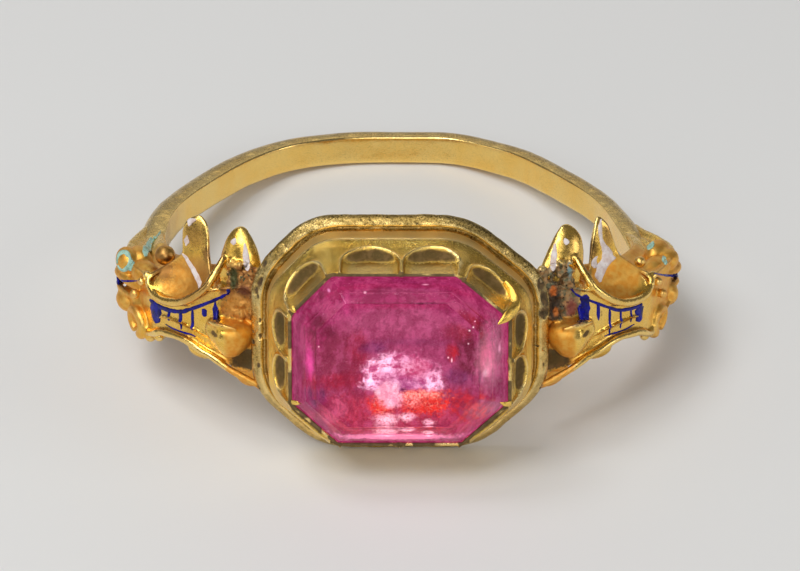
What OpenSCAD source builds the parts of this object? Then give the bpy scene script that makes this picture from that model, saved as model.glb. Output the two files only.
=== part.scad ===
// A gold finger ring with a step-cut pink stone in an arcaded closed setting, leafy scrolled
// shoulders with enamel, and a thin hoop. It lies on its side, the stone towards -Y.
// Directions on the ring: x sideways, v from the finger's axis towards the stone, w along the finger.

/* [Stone] */
// Length of the stone across the ring
stone_w = 8.1; // [7.6:0.1:8.4]
// Width of the stone along the finger
stone_h = 6.74; // [6.4:0.02:7]
// Size of the stone's cut corners
corner_cut = 1.7; // [1.4:0.1:1.9]
// Distance of the stone's girdle from the finger's axis
girdle_v = 11.86; // [11.8:0.02:12]
// Height of the crown above the girdle
crown_h = 0.88; // [0.7:0.02:1]

/* [Bezel] */
// Distance of the bezel's flat back from the finger's axis
back_v = 9.1; // [9:0.02:9.2]
// How far the bezel's rim stands outside the stone's edge
rim_out = 1.38; // [1.3:0.02:1.5]
// Depth of each arch recess at its crown
arch_deep = 0.38; // [0.3:0.02:0.44]

/* [Hoop] */
// Width of the hoop along the finger
hoop_w = 1.15; // [1:0.05:1.4]
// How round the outside of the hoop is, as a share of its thickness
hoop_round = 0.6; // [0.4:0.05:0.8]

/* [Shoulders] */
// How far the right scrolls sit behind the left ones, in degrees
scroll_lag = 3; // [0:0.5:4]
// Depth of the scooped hollow between each shoulder's rims
scoop = 0.22; // [0.1:0.02:0.3]
// How much further out the left scrolls stand than the right ones
left_out = 0.3; // [0:0.05:0.35]
// How far the shoulder's rims stand proud of the striped panel
rim_proud = 0.12; // [0.08:0.01:0.16]

/* [Enamel] */
// Depth of the enamel
enamel_deep = 0.14; // [0.1:0.01:0.18]
// Gap round each piece of enamel and between the set pieces
gap = 0.03; // [0.02:0.005:0.05]

/* [Hidden] */

gold = "#d9a032";
pink = "#e0459a";
foil_pink = "#f7b8cf";
blue = "#15158a";
white = "#f3ece6";
turquoise = "#9fd3c4";

// Seam between the box and the arcaded setting, and the floor and wall of the box's well
seam_v = 10.02;
seam_d = 0.84;
floor_v = 9.5;
well_d = -0.3;
// Hollow moulding between the rim's top and the seam
rim_top_v = 9.5;
moulding_in = 1.14;
// How fast the sides and the cut corners move out with each millimetre of offset
side_grow = 1.15;
corner_grow = 0.62;
// How much each corner's cut differs from the usual size, from the upper right one, leftwards,
// and how fast that grows outwards
CUT_MORE = [[0.25, 0], [-0.2, -0.12], [0.02, -0.08], [0.05, -0.05]];
uneven_grow = 0.8;

// Outer line of the hoop seen along the finger, left to right: sideways place, depth, thickness,
// and width as a share of the full width
HOOP = [
    [-10.6, 2.6, 1.05, 0.5], [-10.25, 0.1, 1.05, 0.8], [-10.0, -1.8, 1.05, 1], [-9.4, -3.9, 1.1, 1],
    [-8.25, -6.25, 1.15, 1], [-6.8, -8.5, 1.15, 1], [-5.0, -10.2, 1.15, 1], [-2.6, -11.1, 1.12, 1],
    [0, -11.25, 1.1, 1], [2.5, -11.0, 1.1, 1], [5.05, -9.3, 1.05, 1], [6.65, -7.2, 1.0, 1],
    [8.15, -4.6, 0.95, 1], [8.9, -2.75, 0.95, 1], [9.55, -0.35, 1.0, 0.9], [9.95, 1.6, 1.0, 0.7],
    [10.3, 3.2, 1.0, 0.5]
];

// Left shoulder from the bezel to the hoop: angle from the bezel's middle, inner radius, outer
// radius, half-height at the inner side, half-height at the outer rim
SHOULDER = [
    [26, 10.15, 10.7, 1.5, 1.4], [30.5, 9.7, 10.7, 1.9, 1.5], [34, 9.45, 10.75, 2.1, 1.5],
    [37, 9.38, 10.95, 2.2, 1.35], [40, 9.35, 11.2, 2.3, 1.15], [43, 9.35, 11.3, 2.1, 0.85],
    [47.5, 9.35, 11.38, 1.6, 0.6], [53, 9.35, 11.42, 1.45, 0.68], [57.5, 9.35, 11.42, 1.6, 1.0],
    [60.5, 9.35, 11.38, 1.3, 1.05], [66, 9.3, 11.3, 1.0, 0.92], [72, 9.3, 11.15, 0.88, 0.82],
    [78, 9.25, 10.85, 0.78, 0.72], [84, 9.2, 10.5, 0.7, 0.66], [90, 9.15, 10.25, 0.62, 0.6],
    [97, 9.2, 10.1, 0.42, 0.4]
];

// Leaves of the left shoulder: angle, radius at the foot, height of the foot and tip, width,
// thickness, how far the tip leans out, and the angle that the face looks along
REAR_LEAF = [53.6, 9.8, 0.9, 3.5, 1.25, 0.5, -0.3, 28];
FRONT_LEAF = [38.8, 9.75, 1.2, 3.6, 1.7, 0.55, -0.25, 22];
low_leaf = 0.8;

// Point at an angle from the bezel's middle, a radius and a height, on the left shoulder
function at(t, r, w) = [-r * sin(t), -r * cos(t), w];

// Value between four even steps of a smooth curve
function mid4(a, b, c, d, s) =
    b + 0.5 * s * (c - a + s * (2 * a - 5 * b + 4 * c - d + s * (3 * (b - c) + d - a)));

// Row of a table at a place counted in rows
function row(table, s) = let (
        last = len(table) - 1, i = min(floor(s), last - 1), f = s - i
    ) mid4(table[max(i - 1, 0)], table[i], table[i + 1], table[min(i + 2, last)], f);

// Row number of an angle in the shoulder's table
function row_at(t) = let (last = len(SHOULDER) - 1) [
        for (i = [0:last - 1]) if (SHOULDER[i][0] <= t && t < SHOULDER[i + 1][0])
            i + (t - SHOULDER[i][0]) / (SHOULDER[i + 1][0] - SHOULDER[i][0])
    ][0];
function panel_r(t) = row(SHOULDER, row_at(t))[2];
function rim_w(t) = row(SHOULDER, row_at(t))[4];

// Eight-sided outline with uneven cut corners, offset outwards from the stone's edge
SIGNS = [[1, 1], [-1, 1], [-1, -1], [1, -1]];
function corner(k, hw, hh, c, uneven) = let (
        cx = max(c + CUT_MORE[k].x * uneven, 0.12), ch = max(c + CUT_MORE[k].y * uneven, 0.12),
        side = [hw, hh - ch], flat = [hw - cx, hh]
    ) [for (p = k % 2 == 0 ? [side, flat] : [flat, side]) [p.x * SIGNS[k].x, p.y * SIGNS[k].y]];
function octagon(d) = [
    for (k = [0:3]) each corner(
        k, stone_w / 2 + side_grow * d, stone_h / 2 + d, corner_cut + corner_grow * d,
        max(1 + uneven_grow * d, 0)
    )
];
function level(d, v) = [for (p = octagon(d)) [p.x, p.y, v]];

// Closed skin over a row of rings that have the same number of points, whichever way they turn
function turning(ring, c) = let (n = len(ring)) [
        for (j = [0:n - 1]) cross(ring[j] - c, ring[(j + 1) % n] - c)
    ];
function total(list) = [for (p = list) 1] * list;
module loft(rings) {
    n = len(rings[0]);
    m = len(rings);
    c = total(rings[0]) / n;
    ahead = total(turning(rings[0], c)) * (total(rings[1]) / n - c) > 0;
    sides = [
        for (i = [0:m - 2], j = [0:n - 1]) let (a = i * n + j, b = i * n + (j + 1) % n)
            each [[a, a + n, b], [b, a + n, b + n]]
    ];
    ends = [[for (j = [0:n - 1]) j], [for (j = [n - 1:-1:0]) (m - 1) * n + j]];
    faces = concat(sides, ends);
    polyhedron(
        [for (ring = rings) each ring],
        ahead ? faces : [for (f = faces) [for (k = [len(f) - 1:-1:0]) f[k]]]
    );
}

// Turns the bezel's own frame, with the stone up, to the ring's
module facing() {
    rotate([90, 0, 0]) children();
}

// Rests the ring on its side: the bezel's lower edge and the back of the hoop touch the surface
rim_h = stone_h / 2 + rim_out;
rim_edge = 0.08;
lie_front = back_v + rim_edge;
lie_back = 10.75;
lie_low = hoop_w * 0.487;
lie_tilt = atan2(rim_h - lie_low, lie_front + lie_back);
lie_lift = rim_h * cos(lie_tilt) - lie_front * sin(lie_tilt);
mid_y = 0.95;
module resting() {
    translate([0, mid_y, lie_lift]) rotate([-lie_tilt, 0, 0]) children();
}

// The hoop and its section

function hoop_section(t, h) = concat(
    [[-t, -h * 0.9], [-t * 0.92, -h]],
    [for (a = [-90:30:90]) [t * hoop_round * (cos(a) - 1), h * sin(a)]],
    [[-t * 0.92, h], [-t, h * 0.9]]
);
module hoop() {
    steps = 2;
    last = (len(HOOP) - 1) * steps;
    loft([
        for (k = [0:last]) let (
            p = row(HOOP, k / steps), q = row(HOOP, max(k - 0.2, 0) / steps),
            e = row(HOOP, min(k + 0.2, last) / steps), g = e - q, m = norm([g.x, g.y]),
            out = [-g.y / m, g.x / m]
        ) [
            for (s = hoop_section(p[2], hoop_w / 2 * p[3]))
                [p.x - out.x * s.x, -(p.y - out.y * s.x), s.y]
        ]
    ]);
}

// The shoulders

// Half of the shoulder's section, from the middle of the inner face to the middle of the panel
edge = 0.15;
rim_foot = 0.24;
function half_section(q) = let (ri = q[1], ro = q[2], hi = q[3], ho = q[4], inner = ri + edge) concat(
    [[ri, 0], [ri, hi - edge], [inner, hi]],
    [for (s = [0.33, 0.67]) [
        inner + (ro - rim_foot - inner) * s, hi + (ho - hi) * s - scoop * sin(180 * s)
    ]],
    [[ro - rim_foot, ho - 0.03], [ro - 0.1, ho + 0.08], [ro + 0.01, ho], [ro - rim_proud, ho - edge]]
);
function section(q, t) = let (half = half_section(q), n = len(half)) concat(
    [for (p = half) at(t, p.x, p.y)],
    [at(t, q[2] - rim_proud, 0)],
    [for (k = [n - 1:-1:1]) at(t, half[k].x, -half[k].y)]
);
module strap() {
    last = len(SHOULDER) - 1;
    loft([for (k = [0:0.5:last]) let (q = row(SHOULDER, k)) section(q, q[0])]);
}

// A leaf is a pointed lens whose width follows an ogive; a streak is a strip let into its face
widest = 0.35;
leaf_bow = 0.18;
function leaf_width(s) = s < widest
    ? 0.8 + 0.2 * sin(s / widest * 90) : pow(1 - pow((s - widest) / 0.68, 2), 0.62);
function leaf_place(f, s) = at(
    f[0], f[1] + f[6] * sin(s * 90) + leaf_bow * sin(s * 180), f[2] + (f[3] - f[2]) * s
);
function leaf_thick(f, s) = f[5] / 2 * (1 - 0.55 * s * s);
function across(t) = [-cos(t), sin(t), 0];
function outward(t) = [-sin(t), -cos(t), 0];
module leaf(f) {
    loft([
        for (s = [0, 0.2, 0.4, 0.6, 0.8, 0.92, 1]) [
            for (a = [0:45:315]) leaf_place(f, s)
                + across(f[7]) * f[4] / 2 * leaf_width(s) * cos(a)
                + outward(f[7]) * leaf_thick(f, s) * sin(a)
        ]
    ]);
}
// Streaks: place across the face, start and end along the leaf
REAR_STREAK = [0.25, 0.25, 0.85];
FRONT_STREAK = [-0.4, 0.3, 0.8];
streak_w = 0.22;
enamel_over = 0.01;
module leaf_streak(f, streak, grow) {
    half = streak_w / 2 + grow;
    side = streak[0];
    loft([
        for (k = [0:4]) let (
            s = streak[1] - grow / 2 + (streak[2] - streak[1] + grow) * k / 4,
            c = leaf_place(f, s) + across(f[7]) * side * f[4] / 2 * leaf_width(s)
                + outward(f[7]) * leaf_thick(f, s) * sqrt(1 - side * side),
            low = outward(f[7]) * -(enamel_deep + grow), top = outward(f[7]) * (enamel_over + grow)
        ) [
            c - across(f[7]) * half + low, c + across(f[7]) * half + low,
            c + across(f[7]) * half + top, c - across(f[7]) * half + top
        ]
    ]);
}
// The four leaves of one shoulder, the lower ones shorter
module leaves() {
    for (f = [REAR_LEAF, FRONT_LEAF]) {
        leaf(f);
        mirror([0, 0, 1]) leaf([for (k = [0:7]) k == 3 ? f[k] * low_leaf : f[k]]);
    }
}

// The bud beside the bezel: a smooth knob that narrows into the strap
module bud() {
    hull() {
        translate(at(35, 11.45, 0)) sphere(0.76, $fn = 14);
        translate(at(33, 11.2, 0)) sphere(0.66, $fn = 10);
        translate(at(38.3, 11.0, 0)) sphere(0.42, $fn = 8);
    }
}

// Scrolls at the widest part: two bosses, a bead between two curls, and small beads
boss_t = 69.3;
boss_r = 10.85;
boss_w = 0.72;
boss_size = 0.5;
module boss(t, r, w) {
    hull() {
        translate(at(t, r, w)) sphere(boss_size, $fn = 12);
        translate(at(t, r - boss_size, w)) sphere(boss_size + 0.08, $fn = 8);
    }
}
module bead(t, r, w, size) {
    hull() {
        translate(at(t, r, w)) sphere(size, $fn = 8);
        translate(at(t, r - size, w * 0.97)) sphere(size, $fn = 6);
    }
}
curl_t = 61.8;
curl_r = 11.1;
curl_w = 0.95;
module curl(t, r, w) {
    turn = 0.6;
    tube = 0.21;
    deg = 180 / (PI * r);
    loft([
        for (k = [0:8]) let (a = 60 + k * 35, s = tube * (1 - 0.03 * k)) [
            for (b = [0:72:288]) at(
                t + deg * (turn + s * cos(b)) * cos(a), r + s * sin(b), w - (turn + s * cos(b)) * sin(a)
            )
        ]
    ]);
}
// Beads: angle, radius, height, size
BEADS = [[59.6, 11.05, 1.62, 0.27], [56.4, 11.0, 1.2, 0.28]];
module scrolls(lag, out) {
    for (side = [-1, 1]) {
        boss(boss_t + lag, boss_r + out, boss_w * side);
        for (q = BEADS) bead(q[0], q[1] + out / 2, q[2] * side, q[3]);
    }
    curl(curl_t, curl_r + out / 2, -curl_w);
    mirror([0, 0, 1]) curl(curl_t, curl_r + out / 2, -curl_w);
    bead(curl_t + 1.8, curl_r + 0.1 + out / 2, 0, 0.24);
}

// Enamel of a shoulder, each shape also cut into the gold a little larger

// Curved tile on the panel between two angles and two heights given as functions of the rim
module tile(t0, t1, low, high, grow) {
    turn = grow * 5;
    steps = max(1, round((t1 - t0) / 3));
    loft([
        for (k = [0:steps]) let (
            t = t0 - turn + (t1 - t0 + 2 * turn) * k / steps, r = panel_r(t) - rim_proud,
            a = low(t) - grow, b = high(t) + grow
        ) [at(t, r - enamel_deep - grow, a), at(t, r - enamel_deep - grow, b),
           at(t, r + enamel_over + grow, b), at(t, r + enamel_over + grow, a)]
    ]);
}
border_in = 0.16;
border_w = 0.12;
module blue_border(grow) {
    top = function (t) rim_w(t) - border_in;
    bottom = function (t) rim_w(t) - border_in - border_w;
    tile(39, 57, bottom, top, grow);
    mirror([0, 0, 1]) tile(43.5, 57, bottom, top, grow);
}
// Stripes: angle and width in degrees, from the bud outwards; the last is the wide patch
STRIPES = [[41.4, 1.0], [44.3, 0.9], [47.3, 1.1], [50.3, 1.0], [54.6, 2.8]];
module blue_stripes(grow) {
    for (q = STRIPES) {
        high = function (t) rim_w(t) - border_in - border_w - 0.1;
        low = function (t) -high(t);
        tile(q[0] - q[1] / 2, q[0] + q[1] / 2, low, high, grow);
    }
}
// Line in the groove between the two bosses
groove_w = 0.14;
module groove_enamel(lag, grow) {
    high = function (t) groove_w / 2;
    low = function (t) -groove_w / 2;
    tile(boss_t - 2.5 + lag, boss_t + 2.5 + lag, low, high, grow);
}
// Ring let into the upper boss
boss_ring = [0.2, 0.36];
boss_lean = 25;
module boss_enamel(lag, out, grow) {
    translate(at(boss_t + lag, boss_r + out, boss_w)) rotate([boss_lean, 0, -boss_t - lag])
        rotate([90, 0, 0]) difference() {
            translate([0, 0, 0.3 - grow])
                cylinder(enamel_deep + 2 * grow, r = boss_ring[1] + grow, $fn = 16);
            translate([0, 0, 0.2]) cylinder(0.5, r = boss_ring[0] - grow, $fn = 16);
        }
}
// Line along the upper side of the tail
tail_from = 72.5;
tail_long = 17;
tail_line = 0.24;
module tail_enamel(grow) {
    half = tail_line / 2 + grow;
    loft([
        for (k = [0:6]) let (
            t = tail_from - grow * 5 + (tail_long + grow * 10) * k / 6, q = row(SHOULDER, row_at(t)),
            r = (q[1] + q[2]) / 2, w = (q[3] + q[4]) / 2 - scoop
        ) [
            at(t, r - half, w - enamel_deep - grow), at(t, r + half, w - enamel_deep - grow),
            at(t, r + half, w + enamel_over * 2 + grow), at(t, r - half, w + enamel_over * 2 + grow)
        ]
    ]);
}

module one_shoulder(lag, out) {
    strap();
    leaves();
    bud();
    scrolls(lag, out);
}
module recesses(lag, out) {
    blue_border(gap);
    blue_stripes(gap);
    groove_enamel(lag, gap);
    boss_enamel(lag, out, gap);
    tail_enamel(gap);
    leaf_streak(REAR_LEAF, REAR_STREAK, gap);
    leaf_streak(FRONT_LEAF, FRONT_STREAK, gap);
}

// The bezel's box: a closed back, a proud rim and a hollow moulding up to the setting's seam
module bezel_box() {
    loft(concat(
        [level(rim_out - rim_edge, back_v), level(rim_out, lie_front), level(rim_out, rim_top_v - 0.1),
         level(rim_out - rim_edge, rim_top_v)],
        [for (a = [90:-18:0]) level(
            moulding_in - (moulding_in - seam_d) * cos(a), seam_v - (seam_v - rim_top_v) * sin(a)
        )]
    ));
}

module ring_body() {
    color(gold) resting() difference() {
        union() {
            hoop();
            facing() bezel_box();
            one_shoulder(0, left_out);
            mirror([1, 0, 0]) one_shoulder(scroll_lag, 0);
        }
        facing() loft([level(well_d, floor_v), level(well_d, seam_v + 1)]);
        facing() loft([level(seam_d + 0.05, seam_v), level(seam_d + 0.05, girdle_v + 2)]);
        recesses(0, left_out);
        mirror([1, 0, 0]) recesses(scroll_lag, 0);
    }
}

// The arcaded setting

// Outline of one arch: half-width, and depth from the top edge
spring = 0.45;
function arch(half, deep) = concat(
    [[half, girdle_v + spring]],
    [for (a = [0:-15:-180]) [half * cos(a), girdle_v - spring + (deep - spring) * sin(a)]],
    [[-half, girdle_v + spring]]
);
arch_h = 1.16;
inner_d = 0.15;
// Half-widths of the arches: two on each long side, two on each short side, one on each cut corner
long_arch = 1.02;
short_arch = 0.76;
corner_arch = 0.92;
pier = 0.13;
// Recess of an arch on a side of the setting: it opens outwards
module arch_recess(side, shift, half) {
    o = octagon(inner_d);
    a = o[side];
    b = o[(side + 1) % 8];
    m = (a + b) / 2;
    translate([m.x, m.y, 0]) rotate([0, 0, atan2(b.y - a.y, b.x - a.x)]) translate([shift, 0, 0])
        rotate([90, 0, 0]) hull() {
            linear_extrude(0.01) polygon(arch(half * 0.9, arch_h - 0.08));
            translate([0, 0, arch_deep]) linear_extrude(0.5) polygon(arch(half, arch_h));
        }
}
// Small claw pressed over the crown from a corner of the setting
module claw(corner, long) {
    p = octagon(0.14)[corner];
    q = octagon(-long)[corner];
    hull() {
        translate([p.x, p.y, girdle_v + 0.01]) cylinder(0.1, r = 0.09, $fn = 8);
        translate([(p.x * 2 + q.x) / 3, (p.y * 2 + q.y) / 3, girdle_v + 0.17 + long * 0.4])
            cylinder(0.1, r = 0.11, $fn = 8);
        translate([q.x, q.y, girdle_v + 0.13 + long * 1.33]) cylinder(0.07, r = 0.04, $fn = 6);
    }
}
module collet() {
    color(gold) resting() facing() {
        difference() {
            loft([
                level(seam_d - 0.02, seam_v + gap), level(seam_d, seam_v + 0.12), level(0.64, seam_v + 0.5),
                level(0.56, seam_v + 0.64), level(0.17, girdle_v - 0.02), level(0.13, girdle_v + 0.02)
            ]);
            loft([level(well_d, seam_v - 1), level(well_d, girdle_v - 0.66), level(gap, girdle_v - 0.24),
                  level(gap, girdle_v + 1)]);
            for (s = [-1, 1], long = [1, 5]) {
                arch_recess(long, s * (long_arch + pier), long_arch);
                arch_recess(long + 2, s * (short_arch + pier), short_arch);
            }
            for (side = [0:2:6]) arch_recess(side, 0, corner_arch);
        }
        claw(0, 0.34);
        for (corner = [3, 4, 7]) claw(corner, 0.2);
    }
}

module stone() {
    color(pink) resting() facing() loft([
        level(-3.1, girdle_v - 1.96), level(-2.1, girdle_v - 1.6), level(-0.95, girdle_v - 0.92),
        level(0, girdle_v - 0.2), level(0, girdle_v),
        level(-0.44, girdle_v + crown_h * 0.62), level(-0.8, girdle_v + crown_h)
    ]);
}

module foil() {
    color(foil_pink) resting() facing() difference() {
        loft([level(-1.3, floor_v + 0.05), level(-0.42, floor_v + 0.72)]);
        loft([level(-1.3, floor_v + 0.11), level(-0.36, floor_v + 0.83)]);
    }
}

// Left and right pieces of enamel
module both(right) {
    if (right) mirror([1, 0, 0]) children();
    else children();
}
module border_piece(right) {
    color(blue) resting() both(right) blue_border(0);
}
module stripes_piece(right) {
    color(blue) resting() both(right) blue_stripes(0);
}
module groove_piece(right) {
    color(blue) resting() both(right) groove_enamel(right ? scroll_lag : 0, 0);
}
module rear_white_piece(right) {
    color(white) resting() both(right) leaf_streak(REAR_LEAF, REAR_STREAK, 0);
}
module front_white_piece(right) {
    color(white) resting() both(right) leaf_streak(FRONT_LEAF, FRONT_STREAK, 0);
}
module boss_piece(right) {
    color(turquoise) resting() both(right) boss_enamel(right ? scroll_lag : 0, right ? 0 : left_out, 0);
}
module tail_piece(right) {
    color(turquoise) resting() both(right) tail_enamel(0);
}

ring_body();
collet();
stone();
foil();
border_piece(false);  // blue_border_left
border_piece(true);  // blue_border_right
stripes_piece(false);  // blue_stripes_left
stripes_piece(true);  // blue_stripes_right
groove_piece(false);  // groove_enamel_left
groove_piece(true);  // groove_enamel_right
rear_white_piece(false);  // rear_leaf_white_left
rear_white_piece(true);  // rear_leaf_white_right
front_white_piece(false);  // front_leaf_white_left
front_white_piece(true);  // front_leaf_white_right
boss_piece(false);  // boss_enamel_left
boss_piece(true);  // boss_enamel_right
tail_piece(false);  // tail_enamel_left
tail_piece(true);  // tail_enamel_right
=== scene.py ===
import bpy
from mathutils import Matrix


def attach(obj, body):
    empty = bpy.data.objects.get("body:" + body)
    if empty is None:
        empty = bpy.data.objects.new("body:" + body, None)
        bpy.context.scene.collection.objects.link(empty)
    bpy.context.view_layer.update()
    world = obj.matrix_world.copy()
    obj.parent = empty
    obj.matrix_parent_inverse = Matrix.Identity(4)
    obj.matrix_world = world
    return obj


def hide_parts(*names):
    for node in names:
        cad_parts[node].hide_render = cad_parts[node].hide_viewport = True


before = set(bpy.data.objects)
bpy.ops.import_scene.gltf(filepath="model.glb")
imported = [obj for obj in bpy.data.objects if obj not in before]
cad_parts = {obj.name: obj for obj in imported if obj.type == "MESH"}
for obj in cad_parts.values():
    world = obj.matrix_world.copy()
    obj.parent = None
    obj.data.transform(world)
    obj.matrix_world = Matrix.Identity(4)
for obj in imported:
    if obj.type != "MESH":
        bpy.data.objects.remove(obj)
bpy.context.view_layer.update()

import itertools
import math

import bpy
import numpy as np
from mathutils import Matrix, Vector

MM = 0.001
BODY = "root"

# Points of the noise's lattice each way, after which it repeats
LATTICE = 32

# The photograph's view: degrees over the ring's own plane, distance and aim in metres, lens and sensor in mm
VIEW_OVER_RING = 22
CAMERA_FAR = 0.25
AIM_HEIGHT = 0.00134
LENS = 286.9
SENSOR = 36

# Stone and setting, as on the frame: the stone's size, its girdle and its crown; how the outline and its cut
# corners grow outwards; the box's back, rim and seam (V a height, D or OUT a way out from the stone's
# outline); the arches
STONE_W = 8.1
STONE_H = 6.74
CORNER_CUT = 1.7
GIRDLE_V = 12.0
CROWN_H = 0.88
SIDE_GROW = 1.15
CORNER_GROW = 0.62
UNEVEN_GROW = 0.8
CUT_MORE = ((0.25, 0), (-0.2, -0.12), (0.02, -0.08), (0.05, -0.05))
BACK_V = 9.1
RIM_OUT = 1.38
RIM_TOP_V = 9.5
SEAM_V = 10.18
SEAM_D = 0.80
ARCH_H = 1.3
SPRING = 0.45

# How the ring lies: it rests on the box's lower edge and on the hoop's back, so far from the finger's axis,
# with the hoop's half-height there as a share of its width; then its tilt, its lift and its place along Y
HOOP_W = 1.15
BOX_REST_V = BACK_V + 0.08
HOOP_REST_V = 10.75
HOOP_REST_SHARE = 0.487
LIE_TILT = math.atan2(STONE_H / 2 + RIM_OUT - HOOP_W * HOOP_REST_SHARE, BOX_REST_V + HOOP_REST_V)
LIE_LIFT = (STONE_H / 2 + RIM_OUT) * math.cos(LIE_TILT) - BOX_REST_V * math.sin(LIE_TILT)
MID_Y = 0.95

# How far what shows at the table lies lower on the stone's back, by the slant of the view through it
SHIFT = 0.62

# Way from the ring to the camera (x, v, w), by VIEW_OVER_RING
SEEN_FROM = np.array((0.0, 0.9272, 0.3746))

# Hoop, left to right: x, v of its outer line, thickness, width as a share of HOOP_W
HOOP = np.array([
    (-10.6, 2.6, 1.05, 0.5), (-10.25, 0.1, 1.05, 0.8), (-10.0, -1.8, 1.05, 1), (-9.4, -3.9, 1.1, 1),
    (-8.25, -6.25, 1.15, 1), (-6.8, -8.5, 1.15, 1), (-5.0, -10.2, 1.15, 1), (-2.6, -11.1, 1.12, 1),
    (0, -11.25, 1.1, 1), (2.5, -11.0, 1.1, 1), (5.05, -9.3, 1.05, 1), (6.65, -7.2, 1.0, 1),
    (8.15, -4.6, 0.95, 1), (8.9, -2.75, 0.95, 1), (9.55, -0.35, 1.0, 0.9), (9.95, 1.6, 1.0, 0.7),
    (10.3, 3.2, 1.0, 0.5)])

# Left shoulder: angle from the bezel's middle, inner and outer radius, half-height inside and at the rim
SHOULDER = np.array([
    (26, 10.15, 10.7, 1.5, 1.4), (30.5, 9.7, 10.7, 1.9, 1.5), (34, 9.45, 10.75, 2.1, 1.5),
    (37, 9.38, 10.95, 2.2, 1.35), (40, 9.35, 11.2, 2.3, 1.15), (43, 9.35, 11.3, 2.1, 0.85),
    (47.5, 9.35, 11.38, 1.6, 0.6), (53, 9.35, 11.42, 1.45, 0.68), (57.5, 9.35, 11.42, 1.6, 1.0),
    (60.5, 9.35, 11.38, 1.3, 1.05), (66, 9.3, 11.3, 1.0, 0.92), (72, 9.3, 11.15, 0.88, 0.82),
    (78, 9.25, 10.85, 0.78, 0.72), (84, 9.2, 10.5, 0.64, 0.6), (90, 9.2, 10.2, 0.46, 0.44),
    (97, 9.35, 9.95, 0.28, 0.26)])

# How fine the meshes are: points round a piece, the step between its rows in mm, or its rows and the points
# round each
BOX_POINTS, BOX_STEP = 760, 0.024
ARCADE_POINTS, ARCADE_STEP = 1040, 0.026
STONE_POINTS = 230
HOOP_ROWS = 330
STRAP_ROWS = 210
LEAF_ROWS, LEAF_POINTS = 60, 36

# How far a shoulder's rims stand over its panel, the rows along a rolled rim, the spacing of the grid that
# fuses a shoulder, and the grains of rough solder on it
RIM_PROUD = 0.12
RIM_POINTS = 130
SHOULDER_GRID = 0.0488
SOLDER_GRAINS = 170

# The scrolls: their angle on the left, how much further back they lie on the right, how far the left ones
# stand out
BOSS_T = 69.3
SCROLL_LAG = 3
LEFT_OUT = 0.3


def lay_down(points):
    """Turns points on the ring (x, v, w, in mm) to the way it lies, in metres: v goes to -Y, w to +Z, then a
    tilt about X."""
    x, v, w = np.moveaxis(np.asarray(points, float), -1, 0)
    c, s = math.cos(LIE_TILT), math.sin(LIE_TILT)
    return MM * np.stack([x, MID_Y - v * c + w * s, LIE_LIFT + v * s + w * c], -1)


def at(angle, r, w):
    """Point of the left shoulder at an angle in degrees from the bezel's middle, a radius and a height."""
    a = np.radians(angle)
    return np.stack(np.broadcast_arrays(-r * np.sin(a), r * np.cos(a), w), -1)


def across(angle):
    """Direction along the shoulder, away from the bezel, at an angle."""
    return at(angle + 90, 1.0, 0.0)


def cubic(a, b, c, d, f):
    """A smooth way from b to c as f goes from 0 to 1, whose slopes come from the neighbours a and d."""
    return b + 0.5 * f * (c - a + f * (2 * a - 5 * b + 4 * c - d + f * (3 * (b - c) + d - a)))


def spline(table, count):
    """Smooth rows through the rows of a table, evenly by row number."""
    table = np.asarray(table, float)
    s = np.linspace(0, len(table) - 1, count)
    i = np.minimum(s.astype(int), len(table) - 2)
    f = (s - i)[:, None]
    near = [table[np.clip(i + k, 0, len(table) - 1)] for k in (-1, 0, 1, 2)]
    return cubic(*near, f)


def closed_spline(points, times):
    """Smooth points round a closed row of points, so many for each stretch. The row is the last axis but
    one."""
    near = [np.roll(points, -k, -2)[..., None, :] for k in (-1, 0, 1, 2)]
    fine = cubic(*near, (np.arange(times) / times)[:, None])
    return fine.reshape(*points.shape[:-2], -1, points.shape[-1])


def noise(points, size, seed):
    """Smooth noise from -1 to 1: random values on a lattice of that spacing, blended between its points."""
    lattice = np.random.default_rng(seed).uniform(-1, 1, (LATTICE, LATTICE, LATTICE))
    q = points / size
    i = np.floor(q).astype(int)
    f = q - i
    f = f * f * (3 - 2 * f)
    total = np.zeros(points.shape[:-1])
    for step in itertools.product((0, 1), repeat=3):
        cell = (i + step) % LATTICE
        total += lattice[cell[..., 0], cell[..., 1], cell[..., 2]] * np.prod(np.where(step, f, 1 - f), -1)
    return total


# A turn in space, so that a lattice doesn't run along the ring
TURNED = np.array([(0.36, 0.48, -0.8), (-0.8, 0.6, 0.0), (0.48, 0.64, 0.6)])


def unit(vectors, least=1e-12):
    """Vectors, along the last axis, made one long; least keeps a division by zero away."""
    return vectors / np.maximum(np.linalg.norm(vectors, axis=-1, keepdims=True), least)


def rise(x, low, high):
    """0 below low, 1 above high, and a smooth S between."""
    t = np.clip((x - low) / (high - low), 0, 1)
    return t * t * (3 - 2 * t)


# Shells: a tuple of points, four-sided faces and three-sided faces

def volume(shell):
    """Volume inside a shell: the sum over its triangles of a . (b x c) / 6."""
    p, quads, tris = shell
    t = np.concatenate([tris, quads[:, [0, 1, 2]], quads[:, [0, 2, 3]]])
    return np.einsum("ij,ij->i", p[t[:, 0]], np.cross(p[t[:, 1]], p[t[:, 2]])).sum() / 6


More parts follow.
